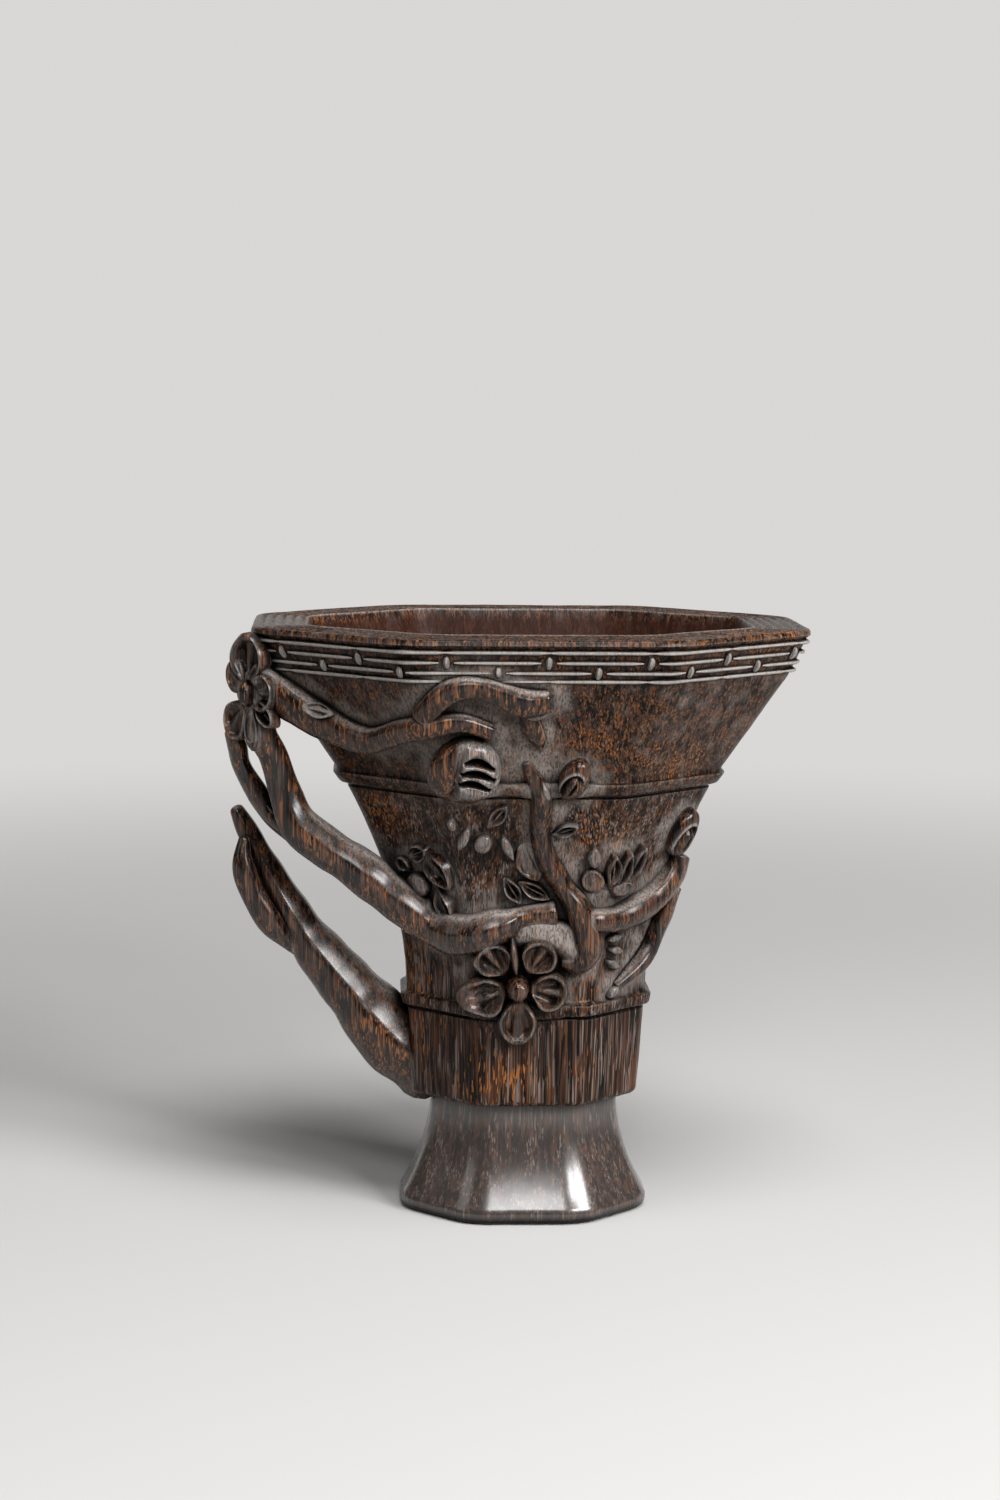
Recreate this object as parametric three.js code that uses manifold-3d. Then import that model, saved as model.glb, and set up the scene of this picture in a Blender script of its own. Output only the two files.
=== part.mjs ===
// Libation cup: an eight-sided wooden cup on a flared foot, with a branch handle and plum blossom in relief.
// Millimetres, +Z up. The origin is the middle of the foot's underside. The handle is at -X, the front at -Y.
import * as THREE from 'three';
import { mergeVertices } from 'three/addons/utils/BufferGeometryUtils.js';
import Module from 'manifold-3d';

const wasm = await Module();
wasm.setup();

// Driving dimensions: heights
const HEIGHT = 95;
const FOOT_HEIGHT = 18.7;
const FOOT_EDGE_HEIGHT = 2;
const COLLAR_HEIGHT = 15.9;
const COLLAR_EDGE_HEIGHT = 1;
const MIDDLE_RIDGE_HEIGHT = 71.1;
const BAND_HEIGHT = 7.4;
const LIP_FACE_HEIGHT = 2.6;
const CAVITY_FLOOR_HEIGHT = 42;
const TENON_HEIGHT = 6;

// Driving dimensions: lengths along X and depths along Y, across the flats
const FOOT_LENGTH = 39.8;
const FOOT_DEPTH = 31;
const NECK_LENGTH = 29.8;
const NECK_DEPTH = 21.8;
const COLLAR_LENGTH = 36;
const COLLAR_DEPTH = 28.6;
const WAIST_LENGTH = 38.4;
const WAIST_DEPTH = 29.4;
const RIDGE_LENGTH = 59.2;
const RIDGE_DEPTH = 44;
const BAND_LENGTH = 81.2;
const BAND_DEPTH = 58.4;
const LIP_LENGTH = 87.6;
const LIP_DEPTH = 65.2;
const TENON_LENGTH = 16;
const TENON_DEPTH = 12;

// Driving dimensions: walls, mouldings and fits
const CLEARANCE = 0.3;
const WALL = 4.6;
const LIP_WIDTH = 8.6;
const FOOT_EDGE_INSET = 1.2;
const COLLAR_EDGE_INSET = 1;
const RIDGE_RISE = 1.1;
const RIDGE_HALF_HEIGHT = 1.7;
const BAND_LINES = 4;
const BAND_LINE_RISE = 0.5;
const BAND_LINE_GAP = 0.3;

// Driving dimension: one unit of the carvings' reaches, radii, lifts and thicknesses, and of their Y
const CARVING_UNIT = 1;

// Shape of the sections: the front facet's share of the length, the end facet's share of the depth,
// and how late the waist and the foot open out
const FRONT_SHARE = 0.47;
const END_SHARE = 0.38;
const WAIST_CURVE = 1.8;
const FOOT_CURVE = 1.9;

// Roundness of the meshes
const LIMB_SIDES = 8;
const RINGS_PER_SPAN = 3;
const PETAL_SEGMENTS = 10;
const PETAL_RINGS = 6;
const CURVE_RINGS = 6;
const EDGE_RINGS = 3;

// Heights that follow from the driving dimensions
const VESSEL_BOTTOM = FOOT_HEIGHT + CLEARANCE;
const LOWER_RIDGE_HEIGHT = VESSEL_BOTTOM + COLLAR_HEIGHT;
const WAIST_HEIGHT = LOWER_RIDGE_HEIGHT + RIDGE_HALF_HEIGHT;
const BAND_BOTTOM = HEIGHT - BAND_HEIGHT;

// Looks
const polishedWood = { color: 0x3a1f14, roughness: 0.42, metalness: 0 };
const footWood = { color: 0x4a3a33, roughness: 0.35, metalness: 0 };
const handleWood = { color: 0x44210f, roughness: 0.4, metalness: 0 };
const reliefWood = { color: 0x4b2a1c, roughness: 0.45, metalness: 0 };

// Plain helpers

function between(from, to, share) {
  return from + (to - from) * share;
}

function steps(count) {
  return Array.from({ length: count + 1 }, (_, i) => i / count);
}

// Eight corners of one level section, anticlockwise seen from above
function octagon(halfLength, halfDepth, z) {
  const front = FRONT_SHARE * halfLength;
  const end = END_SHARE * halfDepth;
  const corners = [
    [halfLength, -end], [halfLength, end], [front, halfDepth], [-front, halfDepth],
    [-halfLength, end], [-halfLength, -end], [-front, -halfDepth], [front, -halfDepth],
  ];
  return corners.map(([x, y]) => new THREE.Vector3(x, y, z));
}

// Closed skin through a row of rings with equal counts, capped at both ends
function loft(rings) {
  const count = rings[0].length;
  const positions = rings.flat().flatMap((p) => p.toArray());
  const faces = [];
  for (let r = 0; r + 1 < rings.length; r += 1) {
    for (let i = 0; i < count; i += 1) {
      const a = r * count + i;
      const b = r * count + ((i + 1) % count);
      faces.push(a, b, b + count, a, b + count, a + count);
    }
  }
  const last = (rings.length - 1) * count;
  for (let i = 1; i + 1 < count; i += 1) {
    faces.push(0, i + 1, i);
    faces.push(last, last + i, last + i + 1);
  }
  const geometry = new THREE.BufferGeometry();
  geometry.setAttribute('position', new THREE.Float32BufferAttribute(positions, 3));
  geometry.setIndex(faces);
  return geometry;
}

// Closed geometry to a solid that can be joined and cut, and back again
function solid(geometry) {
  const bare = geometry.clone();
  bare.deleteAttribute('normal');
  bare.deleteAttribute('uv');
  const merged = mergeVertices(bare, 1e-4);
  const vertProperties = new Float32Array(merged.attributes.position.array);
  const triVerts = new Uint32Array(merged.index.array);
  return new wasm.Manifold(new wasm.Mesh({ numProp: 3, vertProperties, triVerts }));
}

function skin(body) {
  const mesh = body.getMesh();
  const geometry = new THREE.BufferGeometry();
  geometry.setAttribute('position', new THREE.Float32BufferAttribute(mesh.vertProperties, 3));
  geometry.setIndex(new THREE.Uint32BufferAttribute(mesh.triVerts, 1));
  geometry.computeVertexNormals();
  return geometry;
}

// The vessel's outer wall, without its mouldings: half length and half depth at a height

function wallHalves(z) {
  if (z < WAIST_HEIGHT) {
    const share = (z - VESSEL_BOTTOM) / (WAIST_HEIGHT - VESSEL_BOTTOM);
    return [between(COLLAR_LENGTH, WAIST_LENGTH, share) / 2, between(COLLAR_DEPTH, WAIST_DEPTH, share) / 2];
  }
  if (z < MIDDLE_RIDGE_HEIGHT) {
    const share = ((z - WAIST_HEIGHT) / (MIDDLE_RIDGE_HEIGHT - WAIST_HEIGHT)) ** WAIST_CURVE;
    return [between(WAIST_LENGTH, RIDGE_LENGTH, share) / 2, between(WAIST_DEPTH, RIDGE_DEPTH, share) / 2];
  }
  if (z < BAND_BOTTOM) {
    const share = (z - MIDDLE_RIDGE_HEIGHT) / (BAND_BOTTOM - MIDDLE_RIDGE_HEIGHT);
    return [between(RIDGE_LENGTH, BAND_LENGTH, share) / 2, between(RIDGE_DEPTH, BAND_DEPTH, share) / 2];
  }
  const share = (z - BAND_BOTTOM) / BAND_HEIGHT;
  return [between(BAND_LENGTH, LIP_LENGTH, share) / 2, between(BAND_DEPTH, LIP_DEPTH, share) / 2];
}

function wallRing(z, rise) {
  const [halfLength, halfDepth] = wallHalves(z);
  return octagon(halfLength + rise, halfDepth + rise, z);
}

// A moulding is three rings: its lower edge, its crest and its upper edge
function moulding(z, halfHeight, rise, grow) {
  return [wallRing(z - halfHeight, grow), wallRing(z, rise + grow), wallRing(z + halfHeight, grow)];
}

// Outer rings from the collar's underside to the lip, grown by a clearance where other pieces are cut to fit
function outerRings(grow) {
  const [bottomLength, bottomDepth] = wallHalves(VESSEL_BOTTOM);
  const inset = COLLAR_EDGE_INSET - grow;
  const waistTop = MIDDLE_RIDGE_HEIGHT - RIDGE_HALF_HEIGHT;
  const waist = steps(CURVE_RINGS).slice(1, -1).map((share) => {
    return wallRing(between(WAIST_HEIGHT, waistTop, share), grow);
  });
  const linePitch = (BAND_HEIGHT - LIP_FACE_HEIGHT) / BAND_LINES;
  const lines = steps(BAND_LINES).slice(0, -1).flatMap((share) => {
    const z = BAND_BOTTOM + share * linePitch * BAND_LINES + linePitch / 2;
    return moulding(z, (linePitch - BAND_LINE_GAP) / 2, BAND_LINE_RISE, grow);
  });
  return [
    octagon(bottomLength - inset, bottomDepth - inset, VESSEL_BOTTOM),
    wallRing(VESSEL_BOTTOM + COLLAR_EDGE_HEIGHT, grow),
    ...moulding(LOWER_RIDGE_HEIGHT, RIDGE_HALF_HEIGHT, RIDGE_RISE, grow),
    ...waist,
    ...moulding(MIDDLE_RIDGE_HEIGHT, RIDGE_HALF_HEIGHT, RIDGE_RISE, grow),
    ...lines,
    wallRing(HEIGHT, grow),
  ];
}

// Inner rings from the lip down to the cavity's floor
function innerRings() {
  const lip = octagon(LIP_LENGTH / 2 - LIP_WIDTH, LIP_DEPTH / 2 - LIP_WIDTH, HEIGHT);
  const lower = steps(CURVE_RINGS).map((share) => {
    return wallRing(between(MIDDLE_RIDGE_HEIGHT, CAVITY_FLOOR_HEIGHT, share), -WALL);
  });
  return [lip, ...lower];
}

function tenon(grow) {
  const bottom = FOOT_HEIGHT - TENON_HEIGHT;
  const top = FOOT_HEIGHT + TENON_HEIGHT + grow;
  const rings = [bottom, top].map((z) => octagon(TENON_LENGTH / 2 + grow, TENON_DEPTH / 2 + grow, z));
  return solid(loft(rings));
}

function vessel() {
  const cup = solid(loft([...outerRings(0), ...innerRings()]));
  return cup.subtract(tenon(CLEARANCE));
}

// The flared foot, rounded at its edge, with the tenon that goes up into the vessel
function foot() {
  const halfLength = FOOT_LENGTH / 2;
  const halfDepth = FOOT_DEPTH / 2;
  const edge = steps(EDGE_RINGS).slice(0, -1).map((share) => {
    const inset = FOOT_EDGE_INSET * (1 - Math.sin((share * Math.PI) / 2));
    return octagon(halfLength - inset, halfDepth - inset, share * FOOT_EDGE_HEIGHT);
  });
  const flare = steps(CURVE_RINGS).map((share) => {
    const drawn = (1 - share) ** FOOT_CURVE;
    const z = between(FOOT_EDGE_HEIGHT, FOOT_HEIGHT, share);
    return octagon(between(NECK_LENGTH / 2, halfLength, drawn), between(NECK_DEPTH / 2, halfDepth, drawn), z);
  });
  return solid(loft([...edge, ...flare])).add(tenon(0));
}

// Places on the wall: across is the share of the section's half length, up is a share of the vessel's height,
// side is -1 at the front and 1 at the back, and lift is how far the place stands off the wall.
// Each tier ties a share to a ridge or an edge, so that the carving keeps its place among them

const TIERS = [
  [0, VESSEL_BOTTOM], [0.209, LOWER_RIDGE_HEIGHT], [0.686, MIDDLE_RIDGE_HEIGHT], [0.903, BAND_BOTTOM],
  [1, HEIGHT],
];

function wallHeight(up) {
  const passed = TIERS.slice(1, -1).filter(([share]) => up >= share).length;
  const [low, bottom] = TIERS[passed];
  const [high, top] = TIERS[passed + 1];
  return between(bottom, top, (up - low) / (high - low));
}

function bareWall(across, z, side) {
  const [halfLength, halfDepth] = wallHalves(z);
  const share = Math.min(Math.max((Math.abs(across) - FRONT_SHARE) / (1 - FRONT_SHARE), 0), 1);
  return new THREE.Vector3(across * halfLength, side * between(halfDepth, END_SHARE * halfDepth, share), z);
}

// The wall's outward direction, from neighbouring places along it and up it
const GIRTH_STEP = 0.05;
const RISE_STEP = 0.5;

function wallNormal(across, z, side) {
  const step = RISE_STEP * CARVING_UNIT;
  const girth = bareWall(across + GIRTH_STEP, z, side).sub(bareWall(across - GIRTH_STEP, z, side));
  const rise = bareWall(across, z + step, side).sub(bareWall(across, z - step, side));
  return girth.cross(rise).multiplyScalar(-side).normalize();
}

function onWall(across, up, lift, side) {
  const z = wallHeight(up);
  return bareWall(across, z, side).addScaledVector(wallNormal(across, z, side), lift * CARVING_UNIT);
}

// A place beside the handle end: reach is the distance outwards from the end facet at that height
function besideEnd(reach, up, y) {
  const z = wallHeight(up);
  return new THREE.Vector3(-wallHalves(z)[0] - reach * CARVING_UNIT, y * CARVING_UNIT, z);
}

// Limbs: round stems that swell and taper along a curve through chosen places

function limb(places, radii, grow) {
  const curve = new THREE.CatmullRomCurve3(places, false, 'centripetal');
  const spans = places.length - 1;
  const shares = steps(spans * RINGS_PER_SPAN);
  const points = shares.map((share) => curve.getPoint(share));
  const tangents = shares.map((share) => curve.getTangent(share));
  points[0].addScaledVector(tangents[0], -grow);
  points[points.length - 1].addScaledVector(tangents[tangents.length - 1], grow);
  const sideways = new THREE.Vector3(tangents[0].z, tangents[0].x, tangents[0].y);
  let normal = new THREE.Vector3().crossVectors(tangents[0], sideways).normalize();
  const rings = points.map((point, i) => {
    const turn = new THREE.Quaternion().setFromUnitVectors(tangents[Math.max(i - 1, 0)], tangents[i]);
    normal = normal.clone().applyQuaternion(turn);
    const other = new THREE.Vector3().crossVectors(tangents[i], normal);
    const span = Math.min(Math.floor(i / RINGS_PER_SPAN), spans - 1);
    const radius = between(radii[span], radii[span + 1], i / RINGS_PER_SPAN - span) * CARVING_UNIT + grow;
    return steps(LIMB_SIDES).slice(0, -1).map((share) => {
      const angle = share * 2 * Math.PI;
      const across = normal.clone().multiplyScalar(Math.cos(angle) * radius);
      return across.addScaledVector(other, Math.sin(angle) * radius).add(point);
    });
  });
  return solid(loft(rings));
}

// Each row of a wall limb is [across, up, radius], and its axis lifts with its radius
const AXIS_LIFT_SHARE = 0.35;

function wallLimb(rows, side) {
  const places = rows.map(([across, up, radius]) => onWall(across, up, radius * AXIS_LIFT_SHARE, side));
  const radii = rows.map((row) => row[2]);
  return (grow) => limb(places, radii, grow);
}

// Each row of a free limb is [reach, up, y, radius]
function freeLimb(rows) {
  const places = rows.map(([reach, up, y]) => besideEnd(reach, up, y));
  const radii = rows.map((row) => row[3]);
  return (grow) => limb(places, radii, grow);
}

// Petals, buds and blossoms: ellipsoids set in the plane of a frame

function ellipsoid(frame, middle, halves, turn, grow) {
  const geometry = new THREE.SphereGeometry(1, PETAL_SEGMENTS, PETAL_RINGS);
  geometry.scale(...halves.map((half) => half * CARVING_UNIT + grow));
  geometry.rotateZ(turn);
  geometry.translate(...middle.map((place) => place * CARVING_UNIT));
  return solid(geometry.applyMatrix4(frame));
}

// A frame whose Z stands off the wall, and whose Y runs up it
function facing(place, normal) {
  const upright = new THREE.Vector3(0, 0, 1);
  const right = new THREE.Vector3().crossVectors(upright, normal).normalize();
  const rise = new THREE.Vector3().crossVectors(normal, right);
  return new THREE.Matrix4().makeBasis(right, rise, normal).setPosition(place);
}

function wallFrame(across, up, lift, side) {
  return facing(onWall(across, up, lift, side), wallNormal(across, wallHeight(up), side));
}

const PETALS = 5;
const BASE_SHARE = 0.42;
const BASE_THICKNESS_SHARE = 0.8;
const BOSS_SHARE = 0.2;
const BOSS_LIFT_SHARE = 0.4;
const PETAL_REACH_SHARE = 0.58;
const PETAL_LENGTH_SHARE = 0.44;
const PETAL_WIDTH_SHARE = 0.38;

// A blossom is a low base that joins five petals, with a boss in the middle
function blossom(frame, radius, thickness, turn) {
  return (grow) => {
    const base = radius * BASE_SHARE;
    const boss = radius * BOSS_SHARE;
    const bossMiddle = [0, 0, thickness * BOSS_LIFT_SHARE];
    let flower = ellipsoid(frame, [0, 0, 0], [base, base, thickness * BASE_THICKNESS_SHARE], 0, grow);
    flower = flower.add(ellipsoid(frame, bossMiddle, [boss, boss, thickness], 0, grow));
    for (let i = 0; i < PETALS; i += 1) {
      const angle = turn + (i * 2 * Math.PI) / PETALS;
      const reach = radius * PETAL_REACH_SHARE;
      const middle = [Math.cos(angle) * reach, Math.sin(angle) * reach, 0];
      const halves = [radius * PETAL_LENGTH_SHARE, radius * PETAL_WIDTH_SHARE, thickness];
      flower = flower.add(ellipsoid(frame, middle, halves, angle, grow));
    }
    return flower;
  };
}

function bud(frame, halves, turn) {
  return (grow) => ellipsoid(frame, [0, 0, 0], halves, turn, grow);
}

const FRONT = -1;
const BACK = 1;
const DOWN = -Math.PI / 2;

// A blossom that hangs over the lower ridge lies as high as the ridge
const OVER_RIDGE = RIDGE_RISE / CARVING_UNIT;

// The handle's front stem leaves the lip, comes down beside the cup and runs out along the front wall
function frontStem() {
  const free = [
    [2.4, 0.87, -10, 1.9], [7.6, 0.785, -9.5, 2], [8.4, 0.73, -9.5, 2.1], [10.2, 0.65, -9.5, 2.3],
    [10.4, 0.588, -9.8, 2.7], [7.6, 0.54, -10.2, 2.9], [4, 0.5, -10.8, 3], [0.2, 0.446, -11.4, 3],
  ];
  const seated = [[-0.7, 0.386, 2.9], [-0.48, 0.376, 2.7], [-0.2, 0.4, 2.3], [0.16, 0.424, 1.9]];
  const places = [
    ...free.map(([reach, up, y]) => besideEnd(reach, up, y)),
    ...seated.map(([across, up, radius]) => onWall(across, up, radius * AXIS_LIFT_SHARE, FRONT)),
  ];
  const radii = [...free.map((row) => row[3]), ...seated.map((row) => row[2])];
  return (grow) => limb(places, radii, grow);
}

// The blossom at the top of the handle looks outwards and a little to the front, with no petal straight down
const RIM_BLOSSOM_REACH = 4.6;
const RIM_BLOSSOM_UP_SHARE = 0.868;
const RIM_BLOSSOM_Y = -11;
const RIM_BLOSSOM_RADIUS = 9.2;
const RIM_BLOSSOM_THICKNESS = 1.7;
const RIM_BLOSSOM_NORMAL = new THREE.Vector3(-0.88, -0.47, 0).normalize();

function rimBlossom() {
  const place = besideEnd(RIM_BLOSSOM_REACH, RIM_BLOSSOM_UP_SHARE, RIM_BLOSSOM_Y);
  const frame = facing(place, RIM_BLOSSOM_NORMAL);
  return blossom(frame, RIM_BLOSSOM_RADIUS, RIM_BLOSSOM_THICKNESS, DOWN + Math.PI / PETALS);
}

// Every carved piece in the order of fitting: each is cut clear of the vessel and of those before it
const carvings = {
  lower_blossom: [reliefWood, blossom(wallFrame(-0.11, 0.262, OVER_RIDGE, FRONT), 9, 1.6, DOWN)],
  back_lower_blossom: [reliefWood, blossom(wallFrame(0.12, 0.3, OVER_RIDGE, BACK), 7.6, 1.5, DOWN)],
  left_blossom: [reliefWood, blossom(wallFrame(-0.74, 0.47, 0.3, FRONT), 6, 1.2, DOWN)],
  handle_front_stem: [handleWood, frontStem()],
  handle_trunk: [handleWood, freeLimb([
    [-2.5, 0.045, 0, 6], [3.2, 0.118, 0, 5.8], [9, 0.212, 0, 4.8], [15.5, 0.33, 0, 3.4],
    [18.6, 0.44, 0, 2.6], [19.8, 0.535, 0, 1.9], [20.2, 0.595, 0, 1.2],
  ])],
  handle_side_shoot: [handleWood, freeLimb([
    [16.5, 0.3, -2.5, 1.6], [20.6, 0.36, -3.5, 1.8], [22.8, 0.43, -3.5, 1.7], [22.4, 0.49, -3.5, 1.4],
    [20.8, 0.54, -3, 0.8],
  ])],
  handle_rear_stem: [handleWood, freeLimb([
    [9.4, 0.565, -6.2, 1.8], [13, 0.63, -4.6, 1.7], [14.9, 0.68, -5, 1.6], [15, 0.725, -6.5, 1.5],
    [13.6, 0.765, -8.5, 1.4],
  ])],
  rim_blossom: [reliefWood, rimBlossom()],
  upper_bough: [reliefWood, wallLimb([
    [-1.02, 0.85, 1.6], [-0.94, 0.81, 1.7], [-0.85, 0.778, 1.8], [-0.7, 0.772, 1.8], [-0.53, 0.81, 1.7],
    [-0.4, 0.832, 1.7], [-0.3, 0.838, 1.5], [-0.2, 0.825, 1.3],
  ], FRONT)],
  drooping_blossom: [reliefWood, bud(wallFrame(-0.33, 0.735, 0.8, FRONT), [5.2, 5.6, 3.4], 0)],
  upper_hook_twig: [reliefWood, wallLimb([
    [-0.5, 0.85, 1.2], [-0.4, 0.88, 1.8], [-0.29, 0.9, 1.9], [-0.18, 0.902, 1.8], [-0.07, 0.888, 1.8],
    [0.04, 0.872, 1.3],
  ], FRONT)],
  hook_leaf: [reliefWood, wallLimb([[-0.02, 0.842, 0.9], [0.01, 0.815, 1.1], [0.04, 0.785, 0.6]], FRONT)],
  centre_twig: [reliefWood, wallLimb([
    [-0.05, 0.745, 0.9], [0.01, 0.71, 1.3], [0.04, 0.685, 1.5], [0.05, 0.655, 1.5], [0.04, 0.598, 1.4],
    [0.14, 0.521, 1.5], [0.34, 0.445, 1.7], [0.51, 0.378, 1.9], [0.57, 0.335, 1.8],
  ], FRONT)],
  centre_bud: [reliefWood, bud(wallFrame(0.185, 0.712, 0.6, FRONT), [2.3, 3.2, 1.9], -0.6)],
  lower_bough: [reliefWood, wallLimb([
    [0.5, 0.322, 1.7], [0.37, 0.312, 1.7], [0.26, 0.322, 1.5], [0.15, 0.34, 1.3],
  ], FRONT)],
  wall_blossom: [reliefWood, blossom(wallFrame(-0.28, 0.575, 0.2, FRONT), 5.2, 0.9, DOWN)],
  right_bough: [reliefWood, wallLimb([
    [0.6, 0.405, 1.6], [0.72, 0.415, 1.9], [0.88, 0.44, 2], [0.97, 0.481, 1.8], [0.99, 0.522, 1.5],
  ], FRONT)],
  right_blossom: [reliefWood, blossom(wallFrame(0.56, 0.506, 0.2, FRONT), 4.2, 1.1, DOWN)],
  right_bud: [reliefWood, bud(wallFrame(0.93, 0.575, 0.7, FRONT), [2.8, 4.2, 2.1], -0.2)],
  right_lower_shoot: [reliefWood, wallLimb([
    [1.06, 0.45, 1.1], [1.03, 0.385, 1.5], [0.91, 0.3, 1.5], [0.7, 0.25, 0.9],
  ], FRONT)],
  back_bough: [reliefWood, wallLimb([
    [-0.92, 0.36, 2.4], [-0.55, 0.36, 2.3], [-0.15, 0.42, 2.1], [0.25, 0.5, 1.9], [0.55, 0.6, 1.7],
    [0.72, 0.7, 1.5],
  ], BACK)],
  back_twig: [reliefWood, wallLimb([
    [-0.12, 0.47, 1.5], [-0.22, 0.56, 1.4], [-0.2, 0.65, 1.4], [-0.08, 0.74, 1.3], [-0.12, 0.82, 0.9],
  ], BACK)],
  back_upper_blossom: [reliefWood, blossom(wallFrame(0.3, 0.75, 0.5, BACK), 8.4, 1.5, DOWN)],
  back_bud: [reliefWood, bud(wallFrame(-0.42, 0.62, 0.6, BACK), [2.3, 3.2, 1.9], 0.5)],
};

function node(name, body, looks) {
  const mesh = new THREE.Mesh(skin(body), new THREE.MeshStandardMaterial(looks));
  mesh.name = name;
  return mesh;
}

const cup = new THREE.Group();
cup.add(node('vessel', vessel(), polishedWood));
cup.add(node('foot', foot(), footWood));

let taken = solid(loft(outerRings(CLEARANCE)));
for (const [name, [looks, shape]] of Object.entries(carvings)) {
  cup.add(node(name, shape(0).subtract(taken), looks));
  taken = taken.add(shape(CLEARANCE));
}

export default cup;
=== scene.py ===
"""Libation cup in dark palm wood: eight-sided, on a flared foot, with a branch handle and plum blossom.

Meshes are modelled in millimetres and scaled to metres when a piece is finished.
+Z is up, the handle is at -X and the front is at -Y.
"""
import math

import bmesh
import bpy
from mathutils import Matrix, Vector, bvhtree, kdtree, noise


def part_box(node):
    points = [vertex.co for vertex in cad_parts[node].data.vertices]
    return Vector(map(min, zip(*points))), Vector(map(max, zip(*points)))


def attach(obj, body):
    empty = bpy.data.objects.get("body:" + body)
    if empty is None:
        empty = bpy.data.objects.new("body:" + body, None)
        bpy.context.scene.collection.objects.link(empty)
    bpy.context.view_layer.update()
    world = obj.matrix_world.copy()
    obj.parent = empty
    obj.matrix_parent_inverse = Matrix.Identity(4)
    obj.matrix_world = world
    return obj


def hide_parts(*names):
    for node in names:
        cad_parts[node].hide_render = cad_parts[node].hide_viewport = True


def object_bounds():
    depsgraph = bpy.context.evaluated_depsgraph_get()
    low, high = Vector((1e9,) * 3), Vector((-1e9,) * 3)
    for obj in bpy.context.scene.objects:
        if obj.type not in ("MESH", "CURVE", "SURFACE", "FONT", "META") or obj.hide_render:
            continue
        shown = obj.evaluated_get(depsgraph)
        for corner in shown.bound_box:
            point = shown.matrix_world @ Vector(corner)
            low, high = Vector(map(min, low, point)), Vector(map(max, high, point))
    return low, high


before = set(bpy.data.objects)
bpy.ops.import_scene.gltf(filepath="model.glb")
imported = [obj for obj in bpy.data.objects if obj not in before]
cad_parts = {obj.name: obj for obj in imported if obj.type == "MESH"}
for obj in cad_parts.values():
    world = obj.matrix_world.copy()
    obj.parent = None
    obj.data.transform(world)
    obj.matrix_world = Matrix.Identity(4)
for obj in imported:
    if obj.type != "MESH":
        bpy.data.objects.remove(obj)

CAD_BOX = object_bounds()
MM = 0.001

# Sizes taken from the frame, in millimetres
VESSEL_LOW, VESSEL_HIGH = (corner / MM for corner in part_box("vessel"))
_, FOOT_HIGH = (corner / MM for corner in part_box("foot"))
VESSEL_BOTTOM = VESSEL_LOW.z
HEIGHT = VESSEL_HIGH.z
LIP = (VESSEL_HIGH.x, VESSEL_HIGH.y)
FOOT = (FOOT_HIGH.x, FOOT_HIGH.y)

# Sizes of the cup, in millimetres: half lengths and half depths, and heights
FOOT_TOP = 18.7
NECK = (14.9, 10.9)
COLLAR = (18.0, 14.3)
WAIST = (19.2, 14.7)
RIDGE = (29.6, 22.0)
BAND = (40.6, 29.2)
LOWER_RIDGE_HEIGHT = 34.9
WAIST_HEIGHT = 36.6
MIDDLE_RIDGE_HEIGHT = 71.1
BAND_BOTTOM = 87.6
CAVITY_FLOOR_HEIGHT = 42.0
WALL = 4.6
LIP_WIDTH = 8.6
FRONT_SHARE = 0.47
END_SHARE = 0.38
WAIST_CURVE = 1.8
FOOT_CURVE = 1.9

FRONT = -1
BACK = 1


# Plain helpers

def between(start, end, share):
    return start + (end - start) * share


def clamp(value, low=0.0, high=1.0):
    return min(max(value, low), high)


def smooth_step(low, high, value):
    share = clamp((value - low) / (high - low))
    return share * share * (3 - 2 * share)


def fade(low, high, value):
    return 1 - smooth_step(low, high, value)


def both_between(start, end, share):
    return between(start[0], end[0], share), between(start[1], end[1], share)


# The wall of the vessel, without its mouldings

def wall_halves(z):
    """Half length and half depth of the wall's section at a height."""
    if z < WAIST_HEIGHT:
        return both_between(COLLAR, WAIST, (z - VESSEL_BOTTOM) / (WAIST_HEIGHT - VESSEL_BOTTOM))
    if z < MIDDLE_RIDGE_HEIGHT:
        share = (z - WAIST_HEIGHT) / (MIDDLE_RIDGE_HEIGHT - WAIST_HEIGHT)
        return both_between(WAIST, RIDGE, share ** WAIST_CURVE)
    if z < BAND_BOTTOM:
        return both_between(RIDGE, BAND, (z - MIDDLE_RIDGE_HEIGHT) / (BAND_BOTTOM - MIDDLE_RIDGE_HEIGHT))
    return both_between(BAND, LIP, (z - BAND_BOTTOM) / (HEIGHT - BAND_BOTTOM))


def wall_height(up):
    """Height of a place that is given as a share of the vessel's height."""
    return between(VESSEL_BOTTOM, HEIGHT, up)


def bare_wall(across, z, side):
    """A point of the wall: across is a share of the half length, side is the front or the back."""
    half_length, half_depth = wall_halves(z)
    share = clamp((abs(across) - FRONT_SHARE) / (1 - FRONT_SHARE))
    return Vector((across * half_length, side * between(half_depth, END_SHARE * half_depth, share), z))


GIRTH_STEP = 0.05
RISE_STEP = 0.5


def wall_normal(across, z, side):
    girth = bare_wall(across + GIRTH_STEP, z, side) - bare_wall(across - GIRTH_STEP, z, side)
    rise = bare_wall(across, z + RISE_STEP, side) - bare_wall(across, z - RISE_STEP, side)
    return (girth.cross(rise) * -side).normalized()


def on_wall(across, up, lift, side=FRONT):
    z = wall_height(up)
    return bare_wall(across, z, side) + wall_normal(across, z, side) * lift


def beside_end(reach, up, y):
    """A place beside the handle end: reach is the distance outwards from the end facet."""
    z = wall_height(up)
    return Vector((-wall_halves(z)[0] - reach, y, z))


# Curves through chosen rows of numbers

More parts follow.
